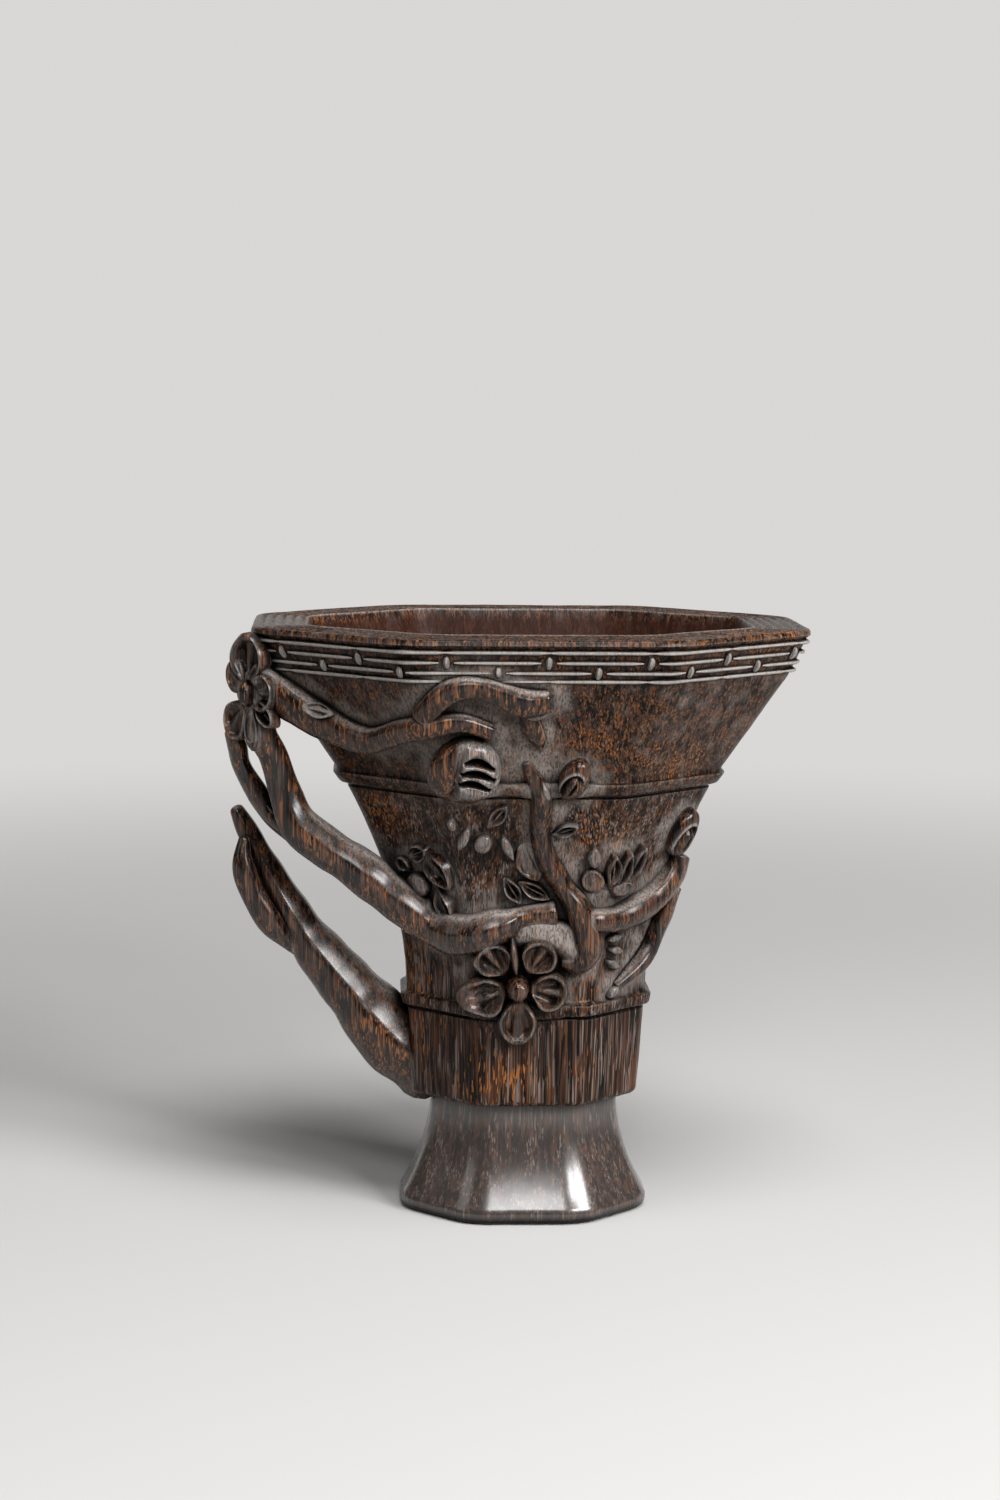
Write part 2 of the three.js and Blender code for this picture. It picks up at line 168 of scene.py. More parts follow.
def curve_row(rows, position):
    """One row of a Catmull-Rom curve through the rows, at a position from 0 to the last index."""
    last = len(rows) - 1
    span = min(int(position), last - 1)
    t = position - span
    a, b, c, d = (rows[clamp(span + i, 0, last)] for i in (-1, 0, 1, 2))
    return [
        q + 0.5 * t * (r - p + t * (2 * p - 5 * q + 4 * r - s + t * (3 * (q - r) + s - p)))
        for p, q, r, s in zip(a, b, c, d)
    ]


def curve_rows(rows, steps):
    """Rows along the curve, with so many steps between each pair of chosen rows."""
    count = (len(rows) - 1) * steps
    return [curve_row(rows, i / steps) for i in range(count + 1)]


# Mesh building: rings of edges that are extruded and moved

def next_ring(bm, edges, matrix):
    """Extrude a ring of edges, move the new ring by a matrix and return its edges."""
    made = bmesh.ops.extrude_edge_only(bm, edges=edges)["geom"]
    verts = [part for part in made if isinstance(part, bmesh.types.BMVert)]
    bmesh.ops.transform(bm, matrix=matrix, verts=verts)
    fresh = set(verts)
    return [part for part in made if isinstance(part, bmesh.types.BMEdge) and fresh.issuperset(part.verts)]


def first_ring(bm, sides, radius):
    """A capped round ring, as its vertices and edges."""
    first = len(bm.verts)
    bmesh.ops.create_circle(bm, cap_ends=True, segments=sides, radius=radius)
    bm.verts.ensure_lookup_table()
    ring = bm.verts[first:]
    return ring, list({edge for vert in ring for edge in vert.link_edges})


CORNER_STEPS = 3


def octagon_ring(bm, rounding, facet_steps):
    """A capped eight-sided ring of unit half sizes, with rounded corners and divided facets."""
    turn = Matrix.Rotation(math.pi / 8, 4, "Z")
    bmesh.ops.create_circle(bm, cap_ends=True, segments=8, radius=1, matrix=turn)
    for vert in bm.verts:
        across, deep = vert.co.x, vert.co.y
        at_end = abs(across) > abs(deep)
        vert.co.x = math.copysign(1 if at_end else FRONT_SHARE, across)
        vert.co.y = math.copysign(END_SHARE if at_end else 1, deep)
    bmesh.ops.bevel(
        bm, geom=bm.verts[:], offset=rounding, offset_type="OFFSET", segments=CORNER_STEPS,
        profile=0.5, affect="VERTICES", material=-1,
    )
    longest = max(edge.calc_length() for edge in bm.edges)
    for edge in [edge for edge in bm.edges if edge.calc_length() > rounding]:
        cuts = round(facet_steps * edge.calc_length() / longest) - 1
        bmesh.ops.subdivide_edges(bm, edges=[edge], cuts=cuts)
    return bm.edges[:]


def raise_octagon(bm, rings, rounding, facet_steps):
    """Run an eight-sided ring up through (half length, half depth, height) rows, capped at both ends."""
    edges = octagon_ring(bm, rounding, facet_steps)
    length, depth, z = rings[0]
    start = Matrix.Translation((0, 0, z)) @ Matrix.Diagonal((length, depth, 1, 1))
    bmesh.ops.transform(bm, matrix=start, verts=bm.verts[:])
    for new_length, new_depth, new_z in rings[1:]:
        grown = Matrix.Diagonal((new_length / length, new_depth / depth, 1, 1))
        edges = next_ring(bm, edges, Matrix.Translation((0, 0, new_z - z)) @ grown)
        length, depth, z = new_length, new_depth, new_z
    bmesh.ops.edgeloop_fill(bm, edges=edges)


# A second, finer wave of the unevenness: its pitch and depth as shares of the first
RIPPLE_PITCH = 0.31
RIPPLE_DEPTH = 0.4


def hand_finish(bm, depth, pitch):
    """Small unevenness of a hand-carved surface, along its normals."""
    bm.normal_update()
    for vert in bm.verts:
        swell = noise.noise(vert.co / pitch)
        ripple = noise.noise(vert.co / (RIPPLE_PITCH * pitch))
        vert.co += vert.normal * depth * (swell + RIPPLE_DEPTH * ripple)


def place_object(name, data):
    made = bpy.data.objects.new(name, data)
    bpy.context.scene.collection.objects.link(made)
    return made


def mesh_object(name, bm, material):
    mesh = bpy.data.meshes.new(name)
    bm.to_mesh(mesh)
    bm.free()
    mesh.shade_smooth()
    mesh.materials.append(material)
    return place_object(name, mesh)


SHARP_ANGLE = math.radians(52)


def finish_piece(name, bm, wood, slot, *nodes):
    """Turn a mesh in millimetres into a piece of the cup that stands for the named nodes."""
    bmesh.ops.recalc_face_normals(bm, faces=bm.faces[:])
    bmesh.ops.scale(bm, vec=(MM, MM, MM), verts=bm.verts[:])
    for vert in bm.verts:
        vert.co = [clamp(value, low, high) for value, low, high in zip(vert.co, *CAD_BOX)]
    piece = mesh_object(name, bm, wood)
    piece.data.set_sharp_from_angle(angle=SHARP_ANGLE)
    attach(piece, "root")
    if nodes:
        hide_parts(*nodes)
    return piece


def mark(piece, name, values):
    """Give each vertex a value that the wood reads by its name."""
    piece.data.attributes.new(name, "FLOAT", "POINT").data.foreach_set("value", values)


# Materials

class Nodes:
    """A node tree, with short ways to add to it. An input is a value or the output socket that feeds it."""

    def __init__(self, tree):
        self.tree = tree

    def feed(self, socket, value):
        if isinstance(value, bpy.types.NodeSocket):
            self.tree.links.new(value, socket)
        else:
            socket.default_value = value

    def add(self, kind, inputs, **settings):
        """Add a node and return its outputs."""
        made = self.tree.nodes.new(f"ShaderNode{kind}")
        for name, value in settings.items():
            setattr(made, name, value)
        for name, value in inputs.items():
            self.feed(made.inputs[name], value)
        return made.outputs

    def calculate(self, operation, first, second):
        return self.add("Math", {0: first, 1: second}, operation=operation)[0]

    def times(self, first, second):
        return self.calculate("MULTIPLY", first, second)

    def plus(self, first, second):
        return self.calculate("ADD", first, second)

    def minus(self, first, second):
        return self.calculate("SUBTRACT", first, second)

    def larger(self, first, second):
        return self.calculate("MAXIMUM", first, second)

    def ramp(self, value, low, high):
        """A smooth 0 to 1 ramp of a value between two limits."""
        inputs = {"Value": value, "From Min": low, "From Max": high}
        return self.add("MapRange", inputs, interpolation_type="SMOOTHSTEP")["Result"]

    def mix(self, share, first, second):
        """A colour between two others."""
        return self.add("Mix", {0: share, 6: first, 7: second}, data_type="RGBA")[2]

    def cloud(self, place, scale, detail):
        return self.add("TexNoise", {"Vector": place, "Scale": scale, "Detail": detail})

    def grain(self, place, across, along):
        """Coordinates in which a fibre of a given size is one unit wide and long."""
        scale = (1 / across, 1 / across, 1 / along)
        return self.add("Mapping", {"Vector": place, "Scale": scale})["Vector"]

    def fibres(self, place, across, along):
        """Three independent random tones for each fibre of a given size."""
        cells = {"Vector": self.grain(place, across, along), "Scale": 1.0}
        return self.add("SeparateColor", {"Color": self.add("TexVoronoi", cells)["Color"]})


# Colours of the wood, in linear light
# The black of the darkest fibres, which is also painted into crevices as shade
FIBRE_AND_SHADE_BLACK = (0.0030, 0.0020, 0.0016, 1)
FIBRE_BROWN = (0.068, 0.030, 0.019, 1)
FIBRE_AMBER = (0.26, 0.098, 0.032, 1)
FIBRE_GREY = (0.24, 0.20, 0.178, 1)
FLECK_ORANGE = (0.38, 0.135, 0.033, 1)
# Edges are painted this pale, partly as worn wood and partly as highlight lines
WORN_AND_HIGHLIGHT_EDGE = (0.52, 0.48, 0.45, 1)
# Grey of the worked ground, which is also painted on the upper faces of branches as lit
WORKED_AND_LIT_GREY = (0.44, 0.385, 0.35, 1)
# Pale grey painted on petals, buds, beads and the stem's end, partly as rubbed wood and partly as highlight
RUB_AND_HIGHLIGHT_GREY = (0.36, 0.33, 0.31, 1)
INNER_RED = (0.036, 0.0105, 0.0055, 1)

# Sizes of the grain, in metres: across the fibres and along them
FIBRE = (0.00042, 0.024)
HAIR = (0.00017, 0.014)
DASH = (0.00017, 0.0013)
STREAK = (0.0011, 0.018)
PUNCH = (0.00020, 0.0006)
DRIFT = (0.010, 0.030)

# How far fibres wander, and the size of patches, of the edges painted pale (worn wood and highlight) and of
# the crevices painted dark as shade, in metres
WANDER = 0.0003
PATCH = 0.012
PAINTED_SHADE_REACH = 0.0026
EDGE_REACH = 0.0005

# Gloss of the wood and of its coat
DULLNESS = 0.12
COAT_ROUGHNESS = 0.22
WAX_IOR = 1.45
LACQUER_IOR = 1.8
SHEEN = 0.10
GLOSS_SPREAD = 0.14

# The wood turns redder over this stretch of height, in metres
RED_WALL = (0.067, 0.075)
RED_LOSS = 0.65
RED_GAIN = 0.35

# Shares and limits of the tones: how fine and coarse fibres add up, and where each colour sets in
FIBRE_SHARE = 0.6
HAIR_SHARE = 0.4
BAND_CONTRAST = 1.1
BROWN_TONES = (0.35, 0.85)
AMBER_FIBRES = (0.5, 0.85)
AMBER_HAIRS = (0.3, 0.9)
GREY_HAIRS = (0.65, 0.95)
GREY_BANDS = (0.3, 0.65)
FLECK_CHANCE = (1.45, 1.62)
STIPPLE_TONES = (-0.4, 0.9)
DENT_DEPTH = 1.5
WORKED_AND_LIT_COVER = 0.85
WORKED_MATT = 0.5
INNER_COVER = 0.8
RUB_AND_HIGHLIGHT_COVER = 0.8
RUB_AND_HIGHLIGHT_LEAST = 0.2
WORN_AND_HIGHLIGHT_TURNS = (0.1, 0.7)
WORN_AND_HIGHLIGHT_LEAST = 0.3
PAINTED_SHADE_TURNS = (0.4, 1.0)
OCCLUSION_SAMPLES = 6

# Marks on the vertices that the wood reads: worked ground with painted light on upper faces, the inside, and
# paleness that is partly rubbed wood and partly painted highlight
MARKS = ("worked_and_lit", "inside", "rub_and_highlight")


def palm_wood(name, amber, grey, wear_and_highlight, roughness, polish, grain_depth, flecks=0.0, grey_film_and_sheen=0.0,
              coat_ior=WAX_IOR):
    """Dark palm wood with upright fibres, orange flecks, edges painted pale as wear and highlight, crevices
    painted dark as shade, and a waxed polish.
    """
    wood = bpy.data.materials.new(name)
    wood.use_nodes = True
    nodes = Nodes(wood.node_tree)
    place = nodes.add("TexCoord", {})["Object"]

    # Fibres wander a little on their way up
    drift = nodes.cloud(nodes.grain(place, *DRIFT), 1.0, 2.0)["Color"]
    centred = nodes.add("VectorMath", {0: drift, 1: (0.5, 0.5, 0.5)}, operation="SUBTRACT")[0]
    shift = nodes.add("VectorMath", {0: centred, 1: (2 * WANDER, 2 * WANDER, 0)}, operation="MULTIPLY")[0]
    wandering = nodes.add("VectorMath", {0: place, 1: shift})[0]
    fibre = nodes.fibres(wandering, *FIBRE)
    hair = nodes.fibres(wandering, *HAIR)

    # Black, brown, amber and grey fibres lie side by side
    tone = nodes.plus(nodes.times(fibre["Green"], FIBRE_SHARE), nodes.times(hair["Red"], HAIR_SHARE))
    bands = nodes.cloud(nodes.grain(wandering, *STREAK), 1.0, 1.0)[0]
    tone = nodes.plus(tone, nodes.times(nodes.minus(bands, 0.5), BAND_CONTRAST))
    colour = nodes.mix(nodes.ramp(tone, *BROWN_TONES), FIBRE_AND_SHADE_BLACK, FIBRE_BROWN)
    redness = nodes.ramp(nodes.add("SeparateXYZ", {"Vector": place})["Z"], *RED_WALL)
    glow = nodes.times(nodes.ramp(fibre["Red"], *AMBER_FIBRES), nodes.ramp(hair["Blue"], *AMBER_HAIRS))
    amber_share = nodes.plus(nodes.times(redness, RED_GAIN), amber)
    colour = nodes.mix(nodes.times(glow, amber_share), colour, FIBRE_AMBER)
    greyness = nodes.times(nodes.ramp(hair["Green"], *GREY_HAIRS), nodes.ramp(bands, *GREY_BANDS))
    grey_share = nodes.times(nodes.minus(1.0, nodes.times(redness, RED_LOSS)), grey)
    colour = nodes.mix(nodes.larger(nodes.times(greyness, grey_share), grey_film_and_sheen), colour, FIBRE_GREY)

    # Patches of the wood hold more orange, and each fleck is a short dash of one fine fibre
    patches = nodes.cloud(place, 1 / PATCH, 2.0)[0]
    dash = nodes.fibres(wandering, *DASH)
    chance = nodes.plus(dash["Red"], patches)
    fleck = nodes.ramp(chance, *(limit - flecks for limit in FLECK_CHANCE))

    # Worked ground round the carvings is grey matt, and upper faces of branches are painted pale as lit.
    # Petals, buds, beads and the stem's end are painted pale, partly as rubbed wood and partly as highlight.
    # The inside is plain
    worked_and_lit, inside, rub_and_highlight = (nodes.add("Attribute", {}, attribute_name=layer)["Fac"] for layer in MARKS)
    punch = nodes.fibres(place, *PUNCH)
    stipple = nodes.times(nodes.ramp(punch["Green"], *STIPPLE_TONES), worked_and_lit)
    colour = nodes.mix(nodes.times(stipple, WORKED_AND_LIT_COVER), colour, WORKED_AND_LIT_GREY)
    colour = nodes.mix(nodes.times(inside, INNER_COVER), colour, INNER_RED)
    plain = nodes.larger(inside, nodes.times(worked_and_lit, WORKED_AND_LIT_COVER))
    colour = nodes.mix(nodes.times(fleck, nodes.minus(1.0, plain)), colour, FLECK_ORANGE)
    pale = nodes.times(rub_and_highlight, nodes.plus(hair["Green"], RUB_AND_HIGHLIGHT_LEAST))
    colour = nodes.mix(nodes.times(pale, RUB_AND_HIGHLIGHT_COVER), colour, RUB_AND_HIGHLIGHT_GREY)

    # Edges are painted pale, partly as worn wood and partly as highlight lines; crevices are painted dark as
    # shade, and the coat is thinned there too
    occlusion = {"samples": OCCLUSION_SAMPLES}
    thin = nodes.add("AmbientOcclusion", {"Distance": EDGE_REACH}, inside=True, **occlusion)["AO"]
    edge = nodes.times(nodes.ramp(nodes.minus(1.0, thin), *WORN_AND_HIGHLIGHT_TURNS), wear_and_highlight)
    colour = nodes.mix(nodes.times(edge, nodes.plus(hair["Red"], WORN_AND_HIGHLIGHT_LEAST)), colour, WORN_AND_HIGHLIGHT_EDGE)
    shade_occlusion = nodes.add("AmbientOcclusion", {"Distance": PAINTED_SHADE_REACH}, **occlusion)["AO"]
    unshaded_share = nodes.ramp(shade_occlusion, *PAINTED_SHADE_TURNS)

    # Fibres stand up a little and differ in gloss; worked ground is dented and takes less of the coat
    grain = nodes.plus(nodes.times(fibre["Blue"], FIBRE_SHARE), nodes.times(hair["Blue"], HAIR_SHARE))
    height = nodes.plus(grain, nodes.times(punch["Red"], nodes.times(worked_and_lit, DENT_DEPTH)))
    gloss = nodes.times(nodes.minus(fibre["Blue"], 0.5), GLOSS_SPREAD)
    dull = nodes.times(nodes.larger(inside, worked_and_lit), DULLNESS)
    matt = nodes.larger(inside, nodes.times(worked_and_lit, WORKED_MATT))
    coat = nodes.times(nodes.minus(1.0, matt), polish)
    surface = {
        # Crevices are painted towards black as shade
        "Base Color": nodes.mix(unshaded_share, FIBRE_AND_SHADE_BLACK, colour),
        "Roughness": nodes.plus(nodes.plus(gloss, dull), roughness),
        "Specular IOR Level": SHEEN,
        "Coat Weight": nodes.times(coat, unshaded_share),
        "Coat Roughness": COAT_ROUGHNESS,
        "Coat IOR": coat_ior,
        "Normal": nodes.add("Bump", {"Height": height, "Distance": grain_depth, "Strength": 1.0})[0],
    }
    for socket, value in surface.items():
        nodes.feed(wood.node_tree.nodes["Principled BSDF"].inputs[socket], value)
    return wood


VESSEL_WOOD = palm_wood(
    "vessel_wood", amber=0.4, grey=0.95, wear_and_highlight=0.6, roughness=0.32, polish=0.1, grain_depth=0.00012,
)
# The foot's grey film is partly the wood's own grey and partly painted sheen
FOOT_WOOD = palm_wood(
    "foot_wood", amber=0.12, grey=0.8, wear_and_highlight=0.3, roughness=0.26, polish=1.0, grain_depth=0.00002,
    flecks=-0.5, grey_film_and_sheen=0.16, coat_ior=LACQUER_IOR,
)
HANDLE_WOOD = palm_wood(
    "handle_wood", amber=0.75, grey=0.2, wear_and_highlight=0.35, roughness=0.26, polish=1.0, grain_depth=0.00002,
)
RELIEF_WOOD = palm_wood(
    "relief_wood", amber=0.7, grey=0.25, wear_and_highlight=0.35, roughness=0.28, polish=0.7, grain_depth=0.00005,
)
# The beads' wood is painted pale grey, with its edges painted pale in full, as highlight lines
HIGHLIT_BEAD_WOOD = palm_wood(
    "highlit_bead_wood", amber=0.1, grey=1.0, wear_and_highlight=1.0, roughness=0.36, polish=0.3, grain_depth=0.00004,
    flecks=-0.5, grey_film_and_sheen=0.8,
)


# Carved branches on the wall. Each row is [share across, share up, radius]

WALL_LIMBS = {
    "upper_bough": (FRONT, "bar", [
        [-1.06, 0.912, 1.5], [-0.98, 0.876, 2.2], [-0.93, 0.853, 2.4], [-0.85, 0.818, 2.1],
        [-0.71, 0.788, 1.7], [-0.54, 0.815, 1.6], [-0.42, 0.83, 1.5], [-0.31, 0.835, 1.3], [-0.2, 0.815, 1.1],
    ]),
    "upper_hook_twig": (FRONT, "bar", [
        [-0.46, 0.845, 1.3], [-0.41, 0.872, 1.5], [-0.33, 0.902, 1.5], [-0.24, 0.91, 1.4],
        [-0.15, 0.896, 1.6], [-0.06, 0.88, 1.8], [0.03, 0.882, 1.5],
    ]),
    "hook_leaf": (FRONT, "leaf", [
        [-0.05, 0.852, 0.8], [-0.03, 0.828, 1.3], [0.0, 0.796, 1.0], [0.02, 0.772, 0.4],
    ]),
    "centre_twig": (FRONT, "twig", [
        [-0.05, 0.745, 0.7], [-0.01, 0.71, 1.1], [0.03, 0.675, 1.5], [0.035, 0.637, 1.5], [0.04, 0.587, 1.4],
        [0.09, 0.536, 1.5], [0.21, 0.478, 1.6], [0.34, 0.428, 1.9], [0.4, 0.379, 2.1], [0.43, 0.338, 2.0],
        [0.37, 0.314, 1.7], [0.25, 0.316, 1.3],
    ]),
    "lower_bough": (FRONT, "mound", [
        [0.44, 0.33, 1.8], [0.36, 0.348, 2.1], [0.21, 0.366, 2.1], [0.05, 0.375, 2.0], [-0.12, 0.37, 1.7],
        [-0.28, 0.352, 1.2],
    ]),
    "right_bough": (FRONT, "ledge", [
        [0.42, 0.41, 1.5], [0.57, 0.405, 1.8], [0.72, 0.415, 2.0], [0.88, 0.44, 2.0], [0.97, 0.481, 1.8],
        [0.99, 0.522, 1.5],
    ]),
    "right_lower_shoot": (FRONT, "twig", [
        [1.06, 0.45, 1.1], [1.03, 0.385, 1.5], [0.91, 0.3, 1.5], [0.7, 0.25, 0.9],
    ]),
    "back_bough": (BACK, "ledge", [
        [-0.92, 0.36, 2.4], [-0.55, 0.36, 2.3], [-0.15, 0.42, 2.1], [0.25, 0.5, 1.9], [0.55, 0.6, 1.7],
        [0.72, 0.7, 1.5],
    ]),
    "back_twig": (BACK, "twig", [
        [-0.12, 0.47, 1.5], [-0.22, 0.56, 1.4], [-0.2, 0.65, 1.4], [-0.08, 0.74, 1.3], [-0.12, 0.82, 0.9],
    ]),
}

# The front stem. Each row is [reach, share up, y, radius], and where it lies on the wall as above
STEM_FREE = [
    [2.4, 0.87, -11, 1.6], [7.4, 0.788, -11.4, 2.1], [8.4, 0.73, -10.4, 2.1], [10.2, 0.65, -9.6, 2.3],
    [10.4, 0.588, -9.8, 2.7], [7.6, 0.54, -10.2, 2.9], [4.0, 0.5, -10.8, 3.0], [0.2, 0.446, -11.4, 3.0],
]
STEM_SEATED = [
    [-0.7, 0.386, 2.9], [-0.48, 0.376, 2.8], [-0.22, 0.398, 2.5], [-0.08, 0.414, 1.8], [0.16, 0.424, 1.7],
]

# Branches of the handle: style, unevenness, rows like those of the front stem, and rows on the wall
HANDLE_LIMBS = {
    "handle_trunk": ("trunk", 0.03, [
        [-2.5, 0.045, 0, 6.0], [3.2, 0.118, 0, 5.8], [9.0, 0.212, 0, 4.8], [15.5, 0.33, 0, 3.4],
        [18.6, 0.44, 0, 2.6], [19.8, 0.535, 0, 1.9], [20.2, 0.595, 0, 1.2],
    ], []),
    "handle_side_shoot": ("shoot", 0.06, [
        [17.5, 0.3, -1.5, 0.7], [20.6, 0.36, -3.2, 1.7], [22.4, 0.43, -3.5, 1.7], [22.4, 0.49, -3.5, 1.4],
        [20.8, 0.54, -3.0, 0.8],
    ], []),
    "handle_rear_stem": ("twig", 0.06, [
        [11.0, 0.555, -8.2, 1.7], [14.1, 0.6, -6.6, 1.6], [15.0, 0.655, -6.0, 1.5], [14.8, 0.705, -6.4, 1.4],
        [13.4, 0.745, -7.4, 1.4], [12.6, 0.775, -8.2, 1.2],
    ], []),
    "handle_front_stem": ("stem", 0.08, STEM_FREE, STEM_SEATED),
}

# Blossoms on the wall: side, share across, share up, lift, radius and height
BLOSSOMS = {
    "lower_blossom": (FRONT, -0.11, 0.266, 0.9, 9.0, 2.8),
    "left_blossom": (FRONT, -0.74, 0.47, 0.3, 6.0, 1.3),
    "wall_blossom": (FRONT, -0.28, 0.575, 0.2, 5.2, 1.0),
    "right_blossom": (FRONT, 0.56, 0.506, 0.2, 4.2, 1.2),
    "back_upper_blossom": (BACK, 0.3, 0.75, 0.3, 8.4, 1.6),
    "back_lower_blossom": (BACK, 0.12, 0.3, 0.8, 7.6, 1.6),
}

# Buds on the wall: side, share across, share up, lift, half sizes and turn
BUDS = {
    "centre_bud": (FRONT, 0.185, 0.712, 0.6, (2.3, 3.7, 2.1), -0.35),
    "right_bud": (FRONT, 0.93, 0.575, 0.7, (2.8, 4.2, 2.1), -0.2),
    "back_bud": (BACK, -0.42, 0.62, 0.6, (2.3, 3.2, 1.9), 0.5),
}
DROOPING_BLOSSOM = (FRONT, -0.33, 0.735, 0.8, (5.2, 5.6, 3.4), 0.0)

AXIS_LIFT_SHARE = 0.35
LIMB_STEPS = 8


def wall_limb_stations(rows, side):
    """Stations of a branch that lies on the wall: place, outward direction and radius."""
    stations = []
    for across, up, radius in curve_rows(rows, LIMB_STEPS):
        out = wall_normal(across, wall_height(up), side)
        stations.append((on_wall(across, up, radius * AXIS_LIFT_SHARE, side), out, radius))
    return stations


TOWARDS_VIEWER = Vector((0, -1, 0))


def handle_limb_stations(rows, seated):
    """The same for a branch of the handle, whose last rows may be seated on the front wall."""
    placed = [[*beside_end(reach, up, y), radius] for reach, up, y, radius in rows]
    placed += [[*on_wall(across, up, radius * AXIS_LIFT_SHARE), radius] for across, up, radius in seated]
    return [(Vector(row[:3]), TOWARDS_VIEWER, row[3]) for row in curve_rows(placed, LIMB_STEPS)]


# Vessel and foot

# Rows of a ridge's profile: height from its middle, and rise above the wall
RIDGE_ROWS = [
    (-1.7, 0.0), (-1.45, -0.3), (-1.2, -0.34), (-1.1, 0.3), (-0.95, 0.72), (-0.7, 0.88), (0.1, 1.0),
    (0.55, 1.02), (0.8, 0.86), (0.95, 0.45), (1.2, 0.12), (1.6, 0.0),
]
RIDGE_GAP = 0.2
WALL_STEP = 0.9
LIP_RIDGES = 5
LIP_RIDGE_DEPTH = 0.5
LIP_STEPS = 30
LIP_JOIN = 1.5

# Rounded edges: how far a ring is drawn in, which is below zero for the collar, and its drop or lift
LIP_EDGE = [(0.0, 0.95), (0.07, 0.55), (0.28, 0.2), (0.7, 0.02)]
COLLAR_EDGE = [(-1.0, 0.0), (-0.45, 0.15), (-0.12, 0.5), (0.0, 1.0)]
FLOOR_ROUNDING = [(0.6, 0.25), (1.6, 0.0)]
CAVITY_STEP = 2.0


def wall_ring(z, rise):
    length, depth = wall_halves(z)
    return length + rise, depth + rise, z


def wall_rings(low, high, step, rise=0.0):
    count = max(round((high - low) / step), 1)
    return [wall_ring(between(low, high, i / count), rise) for i in range(1, count + 1)]


def lip_rings():
    """The lip: a rounded edge and a flat top with fine ridges that run round it."""
    rows = list(LIP_EDGE)
    inner, top = LIP_EDGE[-1]
    for i in range(1, LIP_STEPS + 1):
        share = i / LIP_STEPS
        wave = 0.5 - 0.5 * math.cos(2 * math.pi * LIP_RIDGES * share)
        rows.append((between(inner, LIP_WIDTH, share), top + LIP_RIDGE_DEPTH * wave))
    return [(LIP[0] - inset, LIP[1] - inset, HEIGHT - sunk) for inset, sunk in rows]


def cavity_rings():
    mouth = (LIP[0] - LIP_WIDTH, LIP[1] - LIP_WIDTH)
    throat = tuple(half - WALL for half in RIDGE)
    count = round((HEIGHT - MIDDLE_RIDGE_HEIGHT) / CAVITY_STEP)
    rings = []
    for i in range(1, count + 1):
        z = between(HEIGHT, MIDDLE_RIDGE_HEIGHT, i / count)
        rings.append((*both_between(mouth, throat, i / count), z))
    lower = wall_rings(CAVITY_FLOOR_HEIGHT, MIDDLE_RIDGE_HEIGHT, CAVITY_STEP, -WALL)[:-1]
    rings.extend(reversed(lower))
    length, depth, _ = rings[-1]
    for inset, lift in FLOOR_ROUNDING:
        rings.append((length - inset, depth - inset, CAVITY_FLOOR_HEIGHT + lift))
    return rings


def vessel_rings():
    rings = [wall_ring(VESSEL_BOTTOM + lift, inset) for inset, lift in COLLAR_EDGE]
    low = VESSEL_BOTTOM + COLLAR_EDGE[-1][1]
    below, above = RIDGE_ROWS[0][0] - RIDGE_GAP, RIDGE_ROWS[-1][0]
    for ridge in (LOWER_RIDGE_HEIGHT, MIDDLE_RIDGE_HEIGHT):
        rings += wall_rings(low, ridge + below, WALL_STEP)
        rings += [wall_ring(ridge + offset, rise) for offset, rise in RIDGE_ROWS]
        low = ridge + above
    rings += wall_rings(low, HEIGHT - LIP_JOIN * LIP_EDGE[0][1], WALL_STEP)
    return rings + lip_rings() + cavity_rings()


# The wood round this blossom is left bare and dark
BARE_BLOSSOM = "wall_blossom"
BARE_REACH = (4.0, 8.0)

# The ground round the carvings is worked to a ragged reach, and cut a little deeper next to them
BLOSSOM_SPREAD = 0.8
WORKED_SHARE = 0.75
WORKED_PITCH = 2.2
WORKED_WANDER = 2.5
WORKED_REACH = (0.3, 3.8)
TRENCH = 0.45
TRENCH_REACH = 2.4

# The front stem comes close to the wall after so many of its rows
STEM_FAR_ROWS = 6


def carved_places():
    """Points along everything that is carved on the wall, with their half widths."""
    stations = []
    for side, _, rows in WALL_LIMBS.values():
        stations += wall_limb_stations(rows, side)
    stations += handle_limb_stations(STEM_FREE, STEM_SEATED)[STEM_FAR_ROWS * LIMB_STEPS:]
    places = [(place, radius) for place, _, radius in stations]
    for name, (side, across, up, lift, radius, _) in BLOSSOMS.items():
        if name != BARE_BLOSSOM:
            places.append((on_wall(across, up, lift, side), BLOSSOM_SPREAD * radius))
    for side, across, up, lift, halves, _ in [*BUDS.values(), DROOPING_BLOSSOM]:
        places.append((on_wall(across, up, lift, side), halves[0]))
    return places


def carved_distances(points):
    """How far each point lies from the edge of the nearest carving."""
    places = carved_places()
    tree = kdtree.KDTree(len(places))
    for i, (place, _) in enumerate(places):
        tree.insert(place, i)
    tree.balance()
    reach = max(width for _, width in places)
    distances = []
    for point in points:
        found = tree.find_range(point, reach + WORKED_REACH[1])
        near = [distance - places[i][1] for _, i, distance in found]
        distances.append(min(near, default=WORKED_REACH[1]))
    return distances


